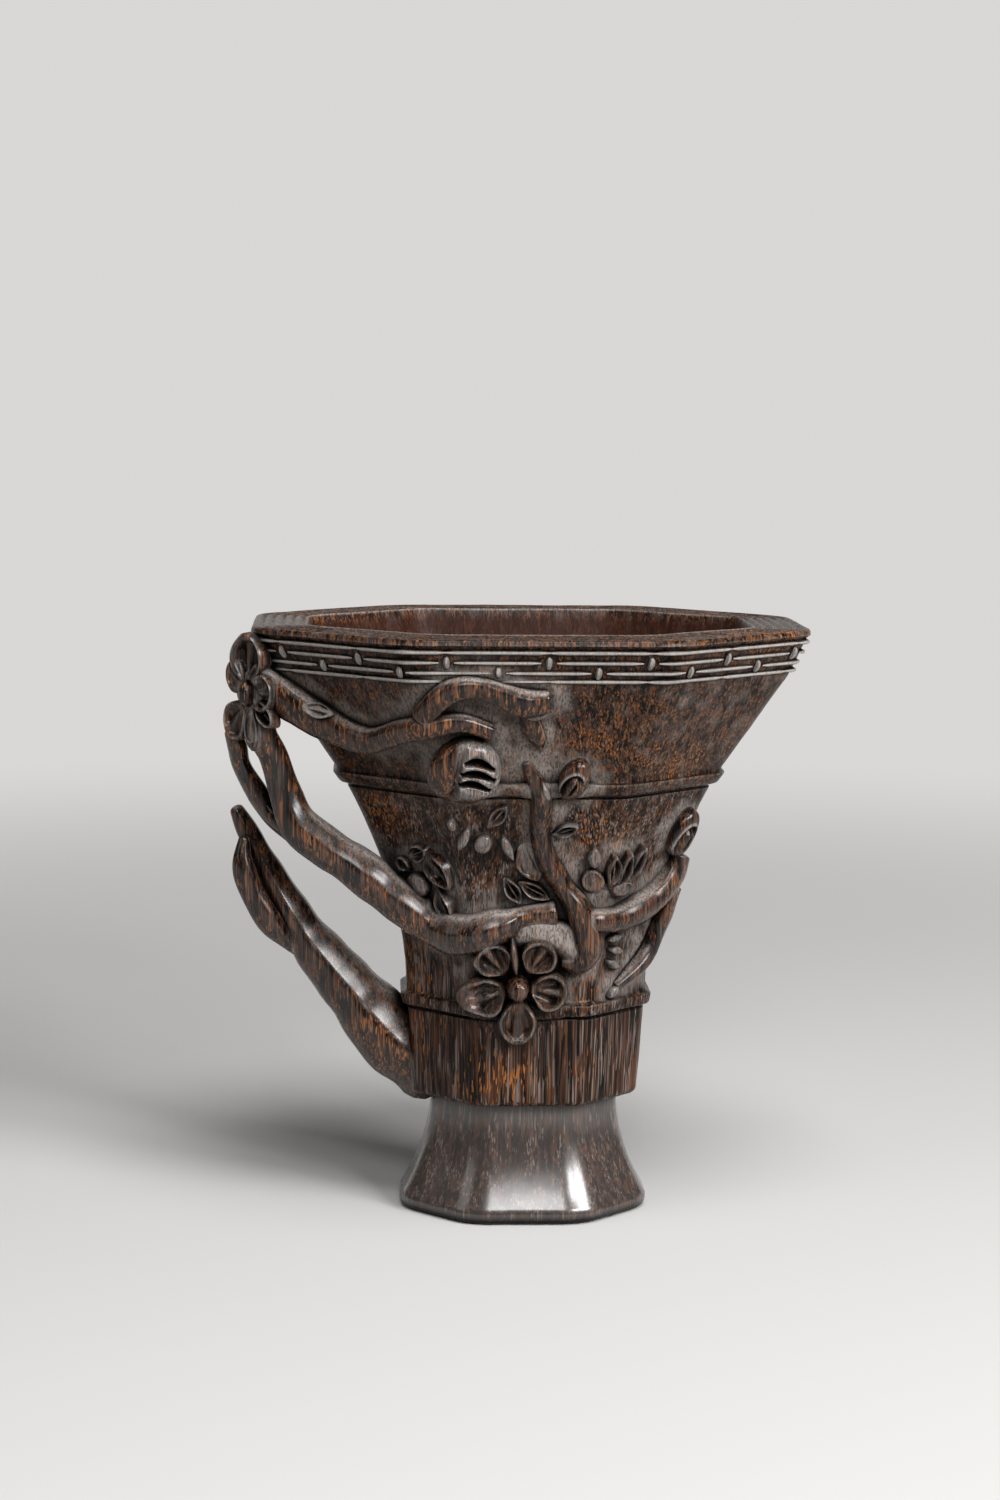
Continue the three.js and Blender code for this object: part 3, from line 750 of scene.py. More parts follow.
def make_vessel():
    bm = bmesh.new()
    rings = vessel_rings()
    raise_octagon(bm, rings, rounding=0.075, facet_steps=30)
    hand_finish(bm, depth=0.09, pitch=7.0)
    distances = carved_distances([vert.co for vert in bm.verts])
    bm.normal_update()
    for vert, distance in zip(bm.verts, distances):
        vert.co -= vert.normal * TRENCH * fade(0.0, TRENCH_REACH, distance)
    inner_from = len(bm.verts) * (1 - len(cavity_rings()) / len(rings))
    vessel = finish_piece("carved_vessel", bm, VESSEL_WOOD, "vessel_wood", "vessel")
    side, across, up, *_ = BLOSSOMS[BARE_BLOSSOM]
    bare = on_wall(across, up, 0.0, side)
    worked_and_lit = []
    for vert, distance in zip(vessel.data.vertices, distances):
        place = vert.co / MM
        ragged = distance + WORKED_WANDER * noise.noise(place / WORKED_PITCH)
        ground = WORKED_SHARE * fade(*WORKED_REACH, ragged)
        ground *= smooth_step(LOWER_RIDGE_HEIGHT, WAIST_HEIGHT, place.z)
        worked_and_lit.append(ground * smooth_step(*BARE_REACH, (place - bare).length))
    mark(vessel, "worked_and_lit", worked_and_lit)
    mark(vessel, "inside", [1.0 if i >= inner_from else 0.0 for i in range(len(worked_and_lit))])


FOOT_EDGE = [(1.3, 0.0), (0.75, 0.12), (0.3, 0.5), (0.06, 1.1), (0.0, 2.0)]
FOOT_STEPS = 22


def make_foot():
    bm = bmesh.new()
    rings = [(FOOT[0] - inset, FOOT[1] - inset, lift) for inset, lift in FOOT_EDGE]
    for i in range(1, FOOT_STEPS + 1):
        share = i / FOOT_STEPS
        length, depth = both_between(NECK, FOOT, (1 - share) ** FOOT_CURVE)
        rings.append((length, depth, between(FOOT_EDGE[-1][1], FOOT_TOP, share)))
    raise_octagon(bm, rings, rounding=0.15, facet_steps=18)
    hand_finish(bm, depth=0.06, pitch=9.0)
    for vert in bm.verts:
        vert.co.z = max(vert.co.z, 0.0)
    finish_piece("flared_foot", bm, FOOT_WOOD, "foot_wood", "foot")


# Fret band: four beads round the lip, tied across in turn

BEAD_HEIGHTS = (88.5, 89.8, 91.4, 93.0)
BEAD_RADIUS = 0.33
BEAD_RISE = 0.2
BEAD_SIDES = 6
BEAD_STEP = 1.5
BEAD_LEAST_STEPS = 4
BEAD_OVERLAP = 0.1
BEAD_END = 0.45
BEAD_UNEVENNESS = 0.16
BEAD_WAVE = 2.3
TIES = 16
TIE_START = 1.2
TIE_GAP = 2.3
TIE_RADIUS = 0.5
TIE_END = 0.4
TIE_HALF = 1.0
TIE_BOW = 0.2
TIE_STEPS = 8

# Steps that find the direction of the wall at a tie
NUDGE_UP = 0.1
NUDGE_ROUND = 0.5


def girth_corners(z, rise):
    """Corners of the section at a height, from the front middle round to the right and back again."""
    length, depth = (half + rise for half in wall_halves(z))
    front, end = FRONT_SHARE * length, END_SHARE * depth
    right = [(front, -depth), (length, -end), (length, end), (front, depth)]
    left = [(-x, y) for x, y in reversed(right)]
    return [Vector((x, y, z)) for x, y in [(0, -depth), *right, *left, (0, -depth)]]


def girth_spans():
    corners = girth_corners(BEAD_HEIGHTS[1], 0.0)
    return [(b - a).length for a, b in zip(corners, corners[1:])]


def girth_point(distance, z, rise):
    """The point on the outline at a height, as far round as a distance along the second bead."""
    corners = girth_corners(z, rise)
    spans = girth_spans()
    left = distance % sum(spans)
    for start, end, span in zip(corners, corners[1:], spans):
        if left <= span:
            return start.lerp(end, left / span)
        left -= span
    return corners[-1]


def tube_frame(place, along, out, proud, wide):
    """A matrix that puts a unit ring across a path, with its X pointing outwards."""
    along = along.normalized()
    side = along.cross(out).normalized()
    out = side.cross(along)
    turn = Matrix((out * proud, side * wide, along)).transposed()
    return Matrix.Translation(place) @ turn.to_4x4()


# How far out the flattened crest of a ridged section lies
RIDGE_FLAT = 0.84


def tube(bm, frames, sides, power=2.0, ridge=0.0):
    """Extrude a ring through frames. Power 2 is a round section, less has a ridge turned from outwards."""
    ring, edges = first_ring(bm, sides, 1)
    for vert in ring:
        angle = math.atan2(vert.co.y, vert.co.x) - ridge
        vert.co /= (abs(math.cos(angle)) ** power + abs(math.sin(angle)) ** power) ** (1 / power)
        crest = vert.co.length * math.cos(angle)
        vert.co -= max(crest - RIDGE_FLAT, 0.0) * Vector((math.cos(ridge), math.sin(ridge), 0))
    bmesh.ops.transform(bm, matrix=frames[0], verts=ring)
    for last, new in zip(frames, frames[1:]):
        edges = next_ring(bm, edges, new @ last.inverted())
    bmesh.ops.edgeloop_fill(bm, edges=edges)


def bead(bm, z, start, end):
    """One stretch of a bead along the outline, drawn in at its ends."""
    count = max(round((end - start) / BEAD_STEP), BEAD_LEAST_STEPS)
    points = [girth_point(between(start, end, i / count), z, BEAD_RISE) for i in range(count + 1)]
    frames = []
    for i, point in enumerate(points):
        along = points[min(i + 1, count)] - points[max(i - 1, 0)]
        radius = BEAD_RADIUS * (BEAD_END if i in (0, count) else 1.0)
        radius *= 1 + BEAD_UNEVENNESS * noise.noise(point / BEAD_WAVE)
        frames.append(tube_frame(point, along, Vector((along.y, -along.x, 0)), radius, radius))
    tube(bm, frames, BEAD_SIDES)


def tie(bm, distance, middle):
    """A short upright knot in a gap of a bead."""
    frames = []
    for i in range(TIE_STEPS + 1):
        bow = math.sin(math.pi * i / TIE_STEPS)
        z = middle + TIE_HALF * (2 * i / TIE_STEPS - 1)
        point = girth_point(distance, z, TIE_BOW * bow)
        along = girth_point(distance, z + NUDGE_UP, 0) - girth_point(distance, z - NUDGE_UP, 0)
        ahead = girth_point(distance + NUDGE_ROUND, z, 0) - girth_point(distance - NUDGE_ROUND, z, 0)
        radius = TIE_RADIUS * between(TIE_END, 1, math.sqrt(bow))
        frames.append(tube_frame(point, along, Vector((ahead.y, -ahead.x, 0)), radius, radius))
    tube(bm, frames, BEAD_SIDES)


def make_fret_band():
    bm = new_carving()
    pitch = sum(girth_spans()) / TIES
    for row, z in enumerate(BEAD_HEIGHTS):
        phase = TIE_START + (0.5 * pitch if row == 1 else 0.0)
        gap = TIE_GAP / 2 if row in (1, 2) else -BEAD_OVERLAP
        for i in range(TIES):
            start = phase + i * pitch + gap
            bead(bm, z, start, start + pitch - 2 * gap)
    for i in range(TIES):
        tie(bm, TIE_START + i * pitch, BEAD_HEIGHTS[2])
        tie(bm, TIE_START + (i + 0.5) * pitch, BEAD_HEIGHTS[1])
    # The beads are painted pale all over, as a highlight line on each
    for vert in bm.verts:
        vert[bm.verts.layers.float["rub_and_highlight"]] = 1.0
    finish_piece("fret_band", bm, HIGHLIT_BEAD_WOOD, "vessel_wood")


# Branches

LIMB_SIDES = 24
SIDE_ANGLE = 2 * math.pi / LIMB_SIDES
KNOT_PITCH = 5.0

# Ends of branches: reach and share of the radius, ring by ring
CUT_END = [(0.14, 0.95), (0.24, 0.8), (0.28, 0.5)]
ROUND_END = [(0.3, 0.94), (0.55, 0.78), (0.72, 0.5), (0.78, 0.2)]

# Sections of branches: turn of the ridge towards the top, in sides, then power, width, height and lift
SECTIONS = {
    "bar": (4, 1.35, 1.4, 1.2, 0.45),
    "ledge": (2, 1.4, 1.25, 1.25, 0.2),
    "twig": (0, 1.35, 1.1, 1.2, 0.25),
    "leaf": (0, 1.2, 1.2, 0.8, 0.5),
    "mound": (1, 1.9, 1.5, 0.75, 0.1),
    "shoot": (0, 1.4, 1.2, 0.8, 0.0),
    "trunk": (2, 1.7, 1.05, 1.0, 0.0),
    "stem": (2, 1.5, 1.2, 1.1, 0.0),
}


def limb(bm, stations, style, end_rows, wavering=0.14):
    """A branch through stations, with shaped ends and the swelling of old wood."""
    turn, power, wide, proud, lift = SECTIONS[style]
    last = len(stations) - 1
    lean = 0.0
    rings = []
    for i, (place, out, radius) in enumerate(stations):
        along = stations[min(i + 1, last)][0] - stations[max(i - 1, 0)][0]
        lean += along.cross(out).z
        swollen = radius * (1 + wavering * noise.noise(place / KNOT_PITCH))
        rings.append((place + out * lift * radius, along, out, swollen))
    for end, sense in ((rings[0], -1), (rings[-1], 1)):
        place, along, out, radius = end
        for reach, share in end_rows:
            cap = (place + along.normalized() * sense * radius * reach, along, out, radius * share)
            rings.insert(0 if sense < 0 else len(rings), cap)
    ridge = turn * SIDE_ANGLE * math.copysign(1, lean)
    frames = []
    for place, along, out, radius in rings:
        frames.append(tube_frame(place, along, out, radius * proud, radius * wide))
    tube(bm, frames, LIMB_SIDES, power, ridge)


# Knife marks are longer along the grain, so heights count for less
KNIFE_STRETCH = 0.4


def whittle(bm, depth, pitch):
    """Uneven faces left by the knife."""
    bm.normal_update()
    for vert in bm.verts:
        spot = Vector((vert.co.x, vert.co.y, KNIFE_STRETCH * vert.co.z)) / pitch
        vert.co += vert.normal * depth * noise.noise(spot)


def new_carving():
    """An empty mesh whose vertices can be marked pale, partly as rubbed wood and partly as painted highlight.
    """
    bm = bmesh.new()
    bm.verts.layers.float.new("rub_and_highlight")
    return bm


def finish_relief(name, bm):
    return finish_piece(f"carved_{name}", bm, RELIEF_WOOD, "relief_wood", name)


# Limits of a normal's height
UPPER_FACES = (0.42, 0.75)
ALL_BUT_LOWER_FACES = (-0.5, 0.0)


def paint_lit_upper_faces(piece, faces=UPPER_FACES):
    """The upper faces of a branch are painted pale as lit, and made matt like the worked ground round them.
    """
    mark(piece, "worked_and_lit", [smooth_step(*faces, vert.normal.z) for vert in piece.data.vertices])


# An eye-shaped leaf on the front of the upper bough
EYE_PLACE = Vector((-33.3, -30, 82.6))
EYE_ANGLE = -0.2
EYE_HALVES = (2.5, 1.2)
EYE_HEIGHT = 0.9

# The end of the front stem has its upper faces painted pale as a highlight from this place on, in metres
# along X
STEM_END_HIGHLIGHT = (-0.0025, -0.0005)


# Upper faces near the stem's end are painted pale as a highlight
def paint_end_highlight(piece):
    values = []
    for vert in piece.data.vertices:
        values.append(smooth_step(*STEM_END_HIGHLIGHT, vert.co.x) * smooth_step(*UPPER_FACES, vert.normal.z))
    piece.data.attributes["rub_and_highlight"].data.foreach_set("value", values)


def make_branches():
    for name, (side, style, rows) in WALL_LIMBS.items():
        bm = new_carving()
        limb(bm, wall_limb_stations(rows, side), style, CUT_END)
        add_leaves(bm, name, side)
        if name == "upper_bough":
            seat = branch_seat(bm, EYE_PLACE)
            petal(bm, seat, (0, 0), EYE_ANGLE, EYE_HALVES, EYE_HEIGHT, cup=1.0, base=0.2, tip=0.5)
        whittle(bm, depth=0.08, pitch=1.6)
        paint_lit_upper_faces(finish_relief(name, bm), ALL_BUT_LOWER_FACES if style == "mound" else UPPER_FACES)
    for name, (style, unevenness, rows, seated) in HANDLE_LIMBS.items():
        bm = new_carving()
        limb(bm, handle_limb_stations(rows, seated), style, CUT_END if seated else ROUND_END)
        whittle(bm, unevenness, pitch=2.6)
        piece = finish_piece(f"carved_{name}", bm, HANDLE_WOOD, "handle_wood", name)
        if style in ("trunk", "stem"):
            paint_lit_upper_faces(piece)
        if style == "stem":
            paint_end_highlight(piece)


# Blossoms, leaves and buds

PETAL_SIDES = 36
PETAL_RINGS = 10
PETALS = 5
ROOT_DEPTH = 1.2
UP = Vector((0, 0, 1))


def wall_seat(side, across, up, lift, root=ROOT_DEPTH):
    """A function that lays a flat (right, rise, height) place on the wall round a middle.

    A place without a height goes down to the root, inside the wood.
    """
    z = wall_height(up)
    middle = bare_wall(across, z, side)
    out = wall_normal(across, z, side)
    right = UP.cross(out).normalized()
    rise = out.cross(right)

    def seat(a, b, height):
        flat = middle + right * a + rise * b
        share = clamp(flat.x / wall_halves(flat.z)[0], -1.0, 1.0)
        base = bare_wall(share, flat.z, side)
        level = -root if height is None else height + lift
        return base + wall_normal(share, flat.z, side) * level

    return seat


def plane_seat(place, out, root, squeeze):
    """The same on a flat plane that faces outwards, squeezed from the sides."""
    right = UP.cross(out).normalized() * squeeze
    return lambda a, b, height: place + right * a + UP * b + out * (-root if height is None else height)


def branch_seat(bm, place):
    """The same on the front of a branch, round a place in front of it."""
    surface = bvhtree.BVHTree.FromBMesh(bm)

    def seat(a, b, height):
        start = place + Vector((a, 0, b))
        hit = surface.ray_cast(start, -TOWARDS_VIEWER)[0] or start
        return hit + TOWARDS_VIEWER * (-ROOT_DEPTH if height is None else height)

    return seat


UNDERSIDE = 1.03


def disc(bm, sides, rings):
    """A closed round sheet of unit radius, as rows of (vertex, x, y, share of the radius).

    The share is None on the underside.
    """
    first = len(bm.verts)
    _, edges = first_ring(bm, sides, 1 / rings)
    for i in range(1, rings):
        edges = next_ring(bm, edges, Matrix.Scale((i + 1) / i, 4))
    edges = next_ring(bm, edges, Matrix.Scale(UNDERSIDE, 4))
    bmesh.ops.edgeloop_fill(bm, edges=edges)
    bm.verts.ensure_lookup_table()
    top_edge = (1 + UNDERSIDE) / 2
    rows = []
    for vert in bm.verts[first:]:
        share = vert.co.xy.length
        rows.append((vert, vert.co.x, vert.co.y, share if share < top_edge else None))
    return rows


def dome(share, edge, power):
    """Level of a dome with an upright edge, as a share of its height."""
    return edge + (1 - edge) * math.sqrt(max(1 - share ** power, 0))


# A petal's outline, and its profile: a raised rim that is open at the base, and folds inside it
BASE_POWER = 1.3
TIP_POWER = 1.4
RIM_RISE = (0.6, 0.86)
RIM_CREST = 0.9
RIM_DROP = 0.3
RIM_START = (-1.0, -0.2)
SPOON_LEVEL = 0.32
FOLD_PITCH = 0.3
FOLD_CENTRE = 1.2
FOLD_HEIGHT = 0.24
FOLD_START = (-0.8, 0.0)


def petal_level(along, aside, share, cup):
    """Level of a petal: cup 0 is a dome and 1 a spoon with a thin rim."""
    rim = smooth_step(*RIM_RISE, share) * (1 - RIM_DROP * smooth_step(RIM_CREST, 1.0, share))
    rim *= smooth_step(*RIM_START, along)
    fold = math.cos(math.atan2(aside, along + FOLD_CENTRE) / FOLD_PITCH * math.pi)
    spoon = between(SPOON_LEVEL, 1, rim) + FOLD_HEIGHT * fold * (1 - rim) * smooth_step(*FOLD_START, along)
    return between(dome(share, edge=0.35, power=2.6), spoon, cup)


def petal(bm, seat, centre, angle, halves, height, cup, base=0.45, tip=0.0, paleness=0.0):
    """A petal or leaf whose ends are drawn in by base and tip."""
    turn = Matrix.Rotation(angle, 2)
    # The petal's paleness is painted, partly as rubbed wood and partly as highlight
    rub_and_highlight = bm.verts.layers.float["rub_and_highlight"]
    for vert, along, aside, share in disc(bm, PETAL_SIDES, PETAL_RINGS):
        narrow = 1 - base * clamp(-along) ** BASE_POWER - tip * clamp(along) ** TIP_POWER
        flat = turn @ Vector((along * halves[0], aside * narrow * halves[1]))
        level = None
        if share is not None:
            level = height * petal_level(along, aside * narrow, share, cup)
        vert[rub_and_highlight] = paleness
        vert.co = seat(flat.x + centre[0], flat.y + centre[1], level)


BOSS_FLUTES = 10
BOSS_FLUTE_DEPTH = 0.05
BOSS_STRETCH = 1.2


def boss(bm, seat, radius, height):
    """The fluted knob in the middle of a flower."""
    for vert, x, y, share in disc(bm, sides=30, rings=9):
        flute = 1 + BOSS_FLUTE_DEPTH * math.cos(BOSS_FLUTES * math.atan2(y, x))
        flat = Vector((x, BOSS_STRETCH * y)) * radius * flute
        vert.co = seat(*flat, None if share is None else height * dome(share, edge=0.25, power=4))


# Petals of an open flower: angle in degrees, then reach, half length and half width as shares of its radius,
# cup, and share of its height. The narrow one is the fold between the two upper petals
OPEN_FLOWER = [
    (-90, 0.60, 0.43, 0.35, 0.5, 1.25), (-8, 0.53, 0.36, 0.37, 0.65, 1.1), (57, 0.63, 0.36, 0.34, 0.65, 1.0),
    (130, 0.63, 0.36, 0.34, 0.65, 1.0), (198, 0.53, 0.36, 0.38, 0.65, 1.1), (97, 0.58, 0.38, 0.075, 0.0, 1.3),
]
RIM_FLOWER = [
    (88, 0.56, 0.50, 0.52, 1.0, 1.4), (146, 0.48, 0.36, 0.30, 0.4, 1.0), (230, 0.60, 0.38, 0.37, 0.7, 1.3),
    (4, 0.44, 0.40, 0.34, 0.9, 1.3), (-32, 0.60, 0.38, 0.18, 0.9, 1.2), (-80, 0.56, 0.44, 0.22, 0.6, 1.1),
    (0, 0.0, 0.45, 0.45, 0.0, 0.7),
]
EVEN_FLOWER = [(-90 + 360 / PETALS * i, 0.58, 0.44, 0.41, 1.0, 1.0) for i in range(PETALS)]
BOSS_SHARE = 0.2
BOSS_HEIGHT_SHARE = 1.8
# Petals of flowers are painted a little pale, partly as rubbed wood and partly as highlight
FLOWER_PALENESS = 0.12


def blossom(bm, seat, radius, height, petals):
    for degrees, reach, length, width, cup, rise in petals:
        angle = math.radians(degrees)
        centre = (reach * radius * math.cos(angle), reach * radius * math.sin(angle))
        halves = (length * radius, width * radius)
        petal(bm, seat, centre, angle, halves, height * rise, cup, paleness=FLOWER_PALENESS)
    boss(bm, seat, BOSS_SHARE * radius, BOSS_HEIGHT_SHARE * height)


# Single petals and leaves on the wall, by the piece that they belong to:
# share across, share up, lift, angle, half sizes, height, cup, and how far base and tip are drawn in
LEAVES = {
    "left_blossom": [
        (-0.75, 0.47, 0.6, 1.57, (2.1, 2.2), 1.7, 0.0, 0.1, 0.0),
        (-0.74, 0.42, 0.6, 1.2, (1.9, 2.0), 1.6, 0.0, 0.1, 0.0),
        (-0.60, 0.51, 0.4, -0.9, (3.7, 2.2), 1.5, 1.0, 0.3, 0.4),
        (-0.60, 0.43, 0.4, -1.2, (3.5, 1.5), 1.5, 0.8, 0.4, 0.5),
        (-0.71, 0.54, 0.3, 0.4, (2.4, 1.5), 1.3, 1.0, 0.3, 0.3),
        (-0.82, 0.51, 0.3, 2.0, (1.5, 1.2), 1.2, 1.0, 0.0, 0.0),
    ],
    "wall_blossom": [
        (-0.31, 0.57, 0.2, 1.2, (1.6, 1.4), 1.1, 0.0, 0.0, 0.0),
        (-0.42, 0.58, 0.2, 1.25, (2.0, 0.75), 1.1, 0.0, 0.5, 0.0),
        (-0.16, 0.56, 0.2, 2.0, (2.2, 0.8), 1.1, 0.0, 0.5, 0.0),
        (-0.21, 0.63, 0.2, 0.95, (2.4, 1.2), 1.1, 0.8, 0.4, 0.3),
        (-0.47, 0.61, 0.2, 1.9, (1.0, 0.6), 0.9, 0.0, 0.2, 0.0),
        (-0.14, 0.47, 0.2, -1.0, (2.5, 1.2), 1.2, 1.0, 0.4, 0.4),
        (0.01, 0.47, 0.2, -0.5, (2.8, 1.2), 1.2, 1.0, 0.4, 0.4),
        (-0.02, 0.53, 0.0, -1.2, (3.4, 2.3), 0.9, 0.8, 0.2, 0.3),
    ],
    "right_blossom": [
        (0.39, 0.54, 0.2, 1.57, (1.8, 1.1), 1.1, 0.0, 0.3, 0.5),
        (0.40, 0.49, 0.2, 1.57, (2.0, 1.7), 1.1, 0.5, 0.1, 0.0),
        (0.51, 0.51, 0.3, 1.75, (3.2, 1.2), 1.6, 0.9, 0.2, 0.6),
        (0.58, 0.51, 0.3, 1.5, (3.4, 1.2), 1.8, 0.9, 0.2, 0.6),
        (0.66, 0.52, 0.3, 1.25, (3.2, 1.2), 1.6, 0.9, 0.2, 0.6),
        (0.60, 0.47, 0.3, 1.57, (1.4, 2.2), 1.7, 0.4, 0.0, 0.0),
    ],
    "hook_leaf": [
        (0.01, 0.87, 0.3, 0.6, (1.6, 0.9), 1.6, 0.0, 0.2, 0.2),
        (-0.01, 0.85, 0.3, 0.2, (1.8, 0.8), 1.5, 0.0, 0.2, 0.3),
    ],
    "centre_twig": [
        (0.18, 0.60, 0.2, 0.35, (2.2, 1.0), 1.2, 0.9, 0.4, 0.4),
        (0.05, 0.69, 0.8, 1.9, (1.5, 0.7), 1.6, 0.0, 0.2, 0.5),
    ],
    "right_lower_shoot": [
        (0.63, 0.36, 0.2, 0.2, (1.5, 0.7), 1.3, 0.0, 0.2, 0.4),
        (0.66, 0.33, 0.2, -0.2, (1.6, 0.7), 1.3, 0.0, 0.2, 0.4),
        (0.65, 0.30, 0.2, -0.5, (1.6, 0.7), 1.3, 0.0, 0.2, 0.4),
        (0.67, 0.24, 0.2, 0.7, (1.4, 0.7), 1.2, 0.0, 0.2, 0.4),
    ],
}
# Domed leaves are painted pale, partly as rubbed wood and partly as highlight
DOME_PALENESS = 0.6


def add_leaves(bm, name, side):
    for across, up, lift, *leaf, cup, base, tip in LEAVES.get(name, []):
        seat = wall_seat(side, across, up, lift)
        petal(bm, seat, (0, 0), *leaf, cup, base, tip, DOME_PALENESS * (1 - cup))


RIM_BLOSSOM_PLACE = (5.0, 0.862, -11.5)
RIM_BLOSSOM_FACING = Vector((-0.6, -0.8, 0))
RIM_BLOSSOM_RADIUS = 9.0
RIM_BLOSSOM_ROOT = 0.5
RIM_BLOSSOM_SQUEEZE = 0.68
RIM_BLOSSOM_HEIGHT = 1.5


def make_blossoms():
    for name, (side, across, up, lift, radius, height) in BLOSSOMS.items():
        bm = new_carving()
        add_leaves(bm, name, side)
        if name not in LEAVES:
            flower = OPEN_FLOWER if side == FRONT else EVEN_FLOWER
            blossom(bm, wall_seat(side, across, up, lift), radius, height, flower)
        whittle(bm, depth=0.06, pitch=1.0)
        finish_relief(name, bm)
    bm = new_carving()
    place = beside_end(*RIM_BLOSSOM_PLACE)
    seat = plane_seat(place, RIM_BLOSSOM_FACING, RIM_BLOSSOM_ROOT, RIM_BLOSSOM_SQUEEZE)
    blossom(bm, seat, RIM_BLOSSOM_RADIUS, RIM_BLOSSOM_HEIGHT, RIM_FLOWER)
    whittle(bm, depth=0.08, pitch=1.2)
    finish_relief("rim_blossom", bm)


# A bud's inner petal shows through an opening that faces one way: its middle and radius, the gap round it,
# the pale crescent beyond the gap, and the slit in it
INNER_MIDDLE = -0.25
INNER_RADIUS = 0.69
OPENING = (-0.3, 0.3)
GAP_DEPTH = 0.36
GAP_START = (0.4, 0.9)
GAP_END = (0.95, 1.06)
CRESCENT_START = (0.96, 1.04)
CRESCENT_END = (1.15, 1.3)
BUD_SLIT_SLOPE = 0.2
BUD_SLIT_MIDDLE = 0.1
BUD_SLIT_DEPTH = 0.24
BUD_SLIT_WIDTH = (0.02, 0.14)
BUD_SLIT_REACH = (0.3, 0.7)


def bud(bm, seat, halves, turn):
    """A closed bud: an egg whose outer petal opens in a pale crescent over an inner petal with a slit."""
    rub_and_highlight = bm.verts.layers.float["rub_and_highlight"]
    for vert, aside, along, share in disc(bm, sides=60, rings=26):
        flat = Matrix.Rotation(turn, 2) @ Vector((aside * halves[0], along * halves[1]))
        if share is None:
            vert.co = seat(*flat, None)
            continue
        inner = math.hypot(aside, along - INNER_MIDDLE) / INNER_RADIUS
        showing = smooth_step(*OPENING, along - INNER_MIDDLE - aside)
        gap = showing * smooth_step(*GAP_START, inner) * fade(*GAP_END, inner)
        slit = abs(aside - BUD_SLIT_SLOPE * along - BUD_SLIT_MIDDLE)
        level = dome(share, edge=0.2, power=2.2) - GAP_DEPTH * gap
        level -= BUD_SLIT_DEPTH * fade(*BUD_SLIT_WIDTH, slit) * fade(*BUD_SLIT_REACH, inner)
        # The crescent is painted pale as a highlight on the rim of the opening, partly as rubbed wood
        vert[rub_and_highlight] = showing * smooth_step(*CRESCENT_START, inner) * fade(*CRESCENT_END, inner)
        vert.co = seat(*flat, halves[2] * level)


# Slits between the petals of the drooping blossom: where each starts on the dome, its slope and its length
SLITS = [((-0.05, 0.46), -0.3, 0.78), ((-0.15, 0.12), -0.26, 0.92), ((-0.22, -0.2), -0.26, 0.84)]
SLIT_HALF = 0.12
SLIT_END = 0.35
SLIT_BOW = 0.1
SLIT_DEPTH = 0.7
SLIT_EDGE = (0.4, 1.0)
FAR_FROM_SLITS = 3.0
PETAL_ROLL = 0.2
PETAL_ROLL_REACH = (0.5, 2.6)
PETALS_ASIDE = (-0.4, -0.15)
PETALS_ALONG = (-0.85, -0.5)
# The petals are painted pale away from the slits, partly as rubbed wood and partly as highlight
PETAL_PALENESS = 0.8
PALE_FROM = (0.8, 1.4)

# The crease between its dome and its petals
CREASE_MIDDLE = -0.3
CREASE_SLOPE = 0.15
CREASE_HALF = 0.16
CREASE_DEPTH = 0.2
CREASE_REACH = (0.7, 0.95)


def slit_distance(aside, along):
    """How far a place of the unit disc lies from the nearest slit, in half widths of a slit."""
    nearest = FAR_FROM_SLITS
    for (start, rise), slope, length in SLITS:
        share = clamp((aside - start) / length)
        bow = math.sin(math.pi * share)
        line = rise + slope * share * length + SLIT_BOW * bow
        beyond = abs(aside - start - share * length)
        half = SLIT_HALF * between(SLIT_END, 1, bow)
        nearest = min(nearest, math.hypot(along - line, beyond) / half)
    return nearest


def drooping_blossom(bm, seat, halves):
    """A half-open flower seen from the side: a dome, and curled petals one above the other beside it."""
    rub_and_highlight = bm.verts.layers.float["rub_and_highlight"]
    for vert, aside, along, share in disc(bm, sides=96, rings=36):
        if share is None:
            vert.co = seat(aside * halves[0], along * halves[1], None)
            continue
        petals = smooth_step(*PETALS_ASIDE, aside) * smooth_step(*PETALS_ALONG, along)
        crease = fade(0.0, CREASE_HALF, abs(aside - CREASE_MIDDLE - CREASE_SLOPE * along))
        slit = slit_distance(aside, along)
        level = dome(share, edge=0.25, power=2.4) - CREASE_DEPTH * crease * fade(*CREASE_REACH, share)
        level -= PETAL_ROLL * petals * fade(*PETAL_ROLL_REACH, slit)
        level -= (SLIT_DEPTH - PETAL_ROLL) * fade(*SLIT_EDGE, slit)
        vert[rub_and_highlight] = PETAL_PALENESS * petals * smooth_step(*PALE_FROM, slit)
        vert.co = seat(aside * halves[0], along * halves[1], halves[2] * level)


def make_buds():
    for name, (side, across, up, lift, halves, turn) in BUDS.items():
        bm = new_carving()
        bud(bm, wall_seat(side, across, up, lift), halves, turn)
        finish_relief(name, bm)
    side, across, up, lift, halves, _ = DROOPING_BLOSSOM
    bm = new_carving()
    drooping_blossom(bm, wall_seat(side, across, up, lift), halves)
    whittle(bm, depth=0.06, pitch=1.1)
    finish_relief("drooping_blossom", bm)


# Stage, lamps and camera

FLOOR_REACH = 1.6
BACKDROP_HEIGHT = 1.6
FOLD_RADIUS = 0.6
FOLD_STEPS = 16
STAGE_COLOUR = (0.68, 0.67, 0.655, 1)
BOUNCE_COLOUR = (0.34, 0.335, 0.325, 1)
PAPER_ROUGHNESS = 0.9
STAGE_FADE = (0.14, 0.55)
STAGE_LEVEL = 1.02
SKY_LEVEL = 0.07
WHITE = (1, 1, 1, 1)


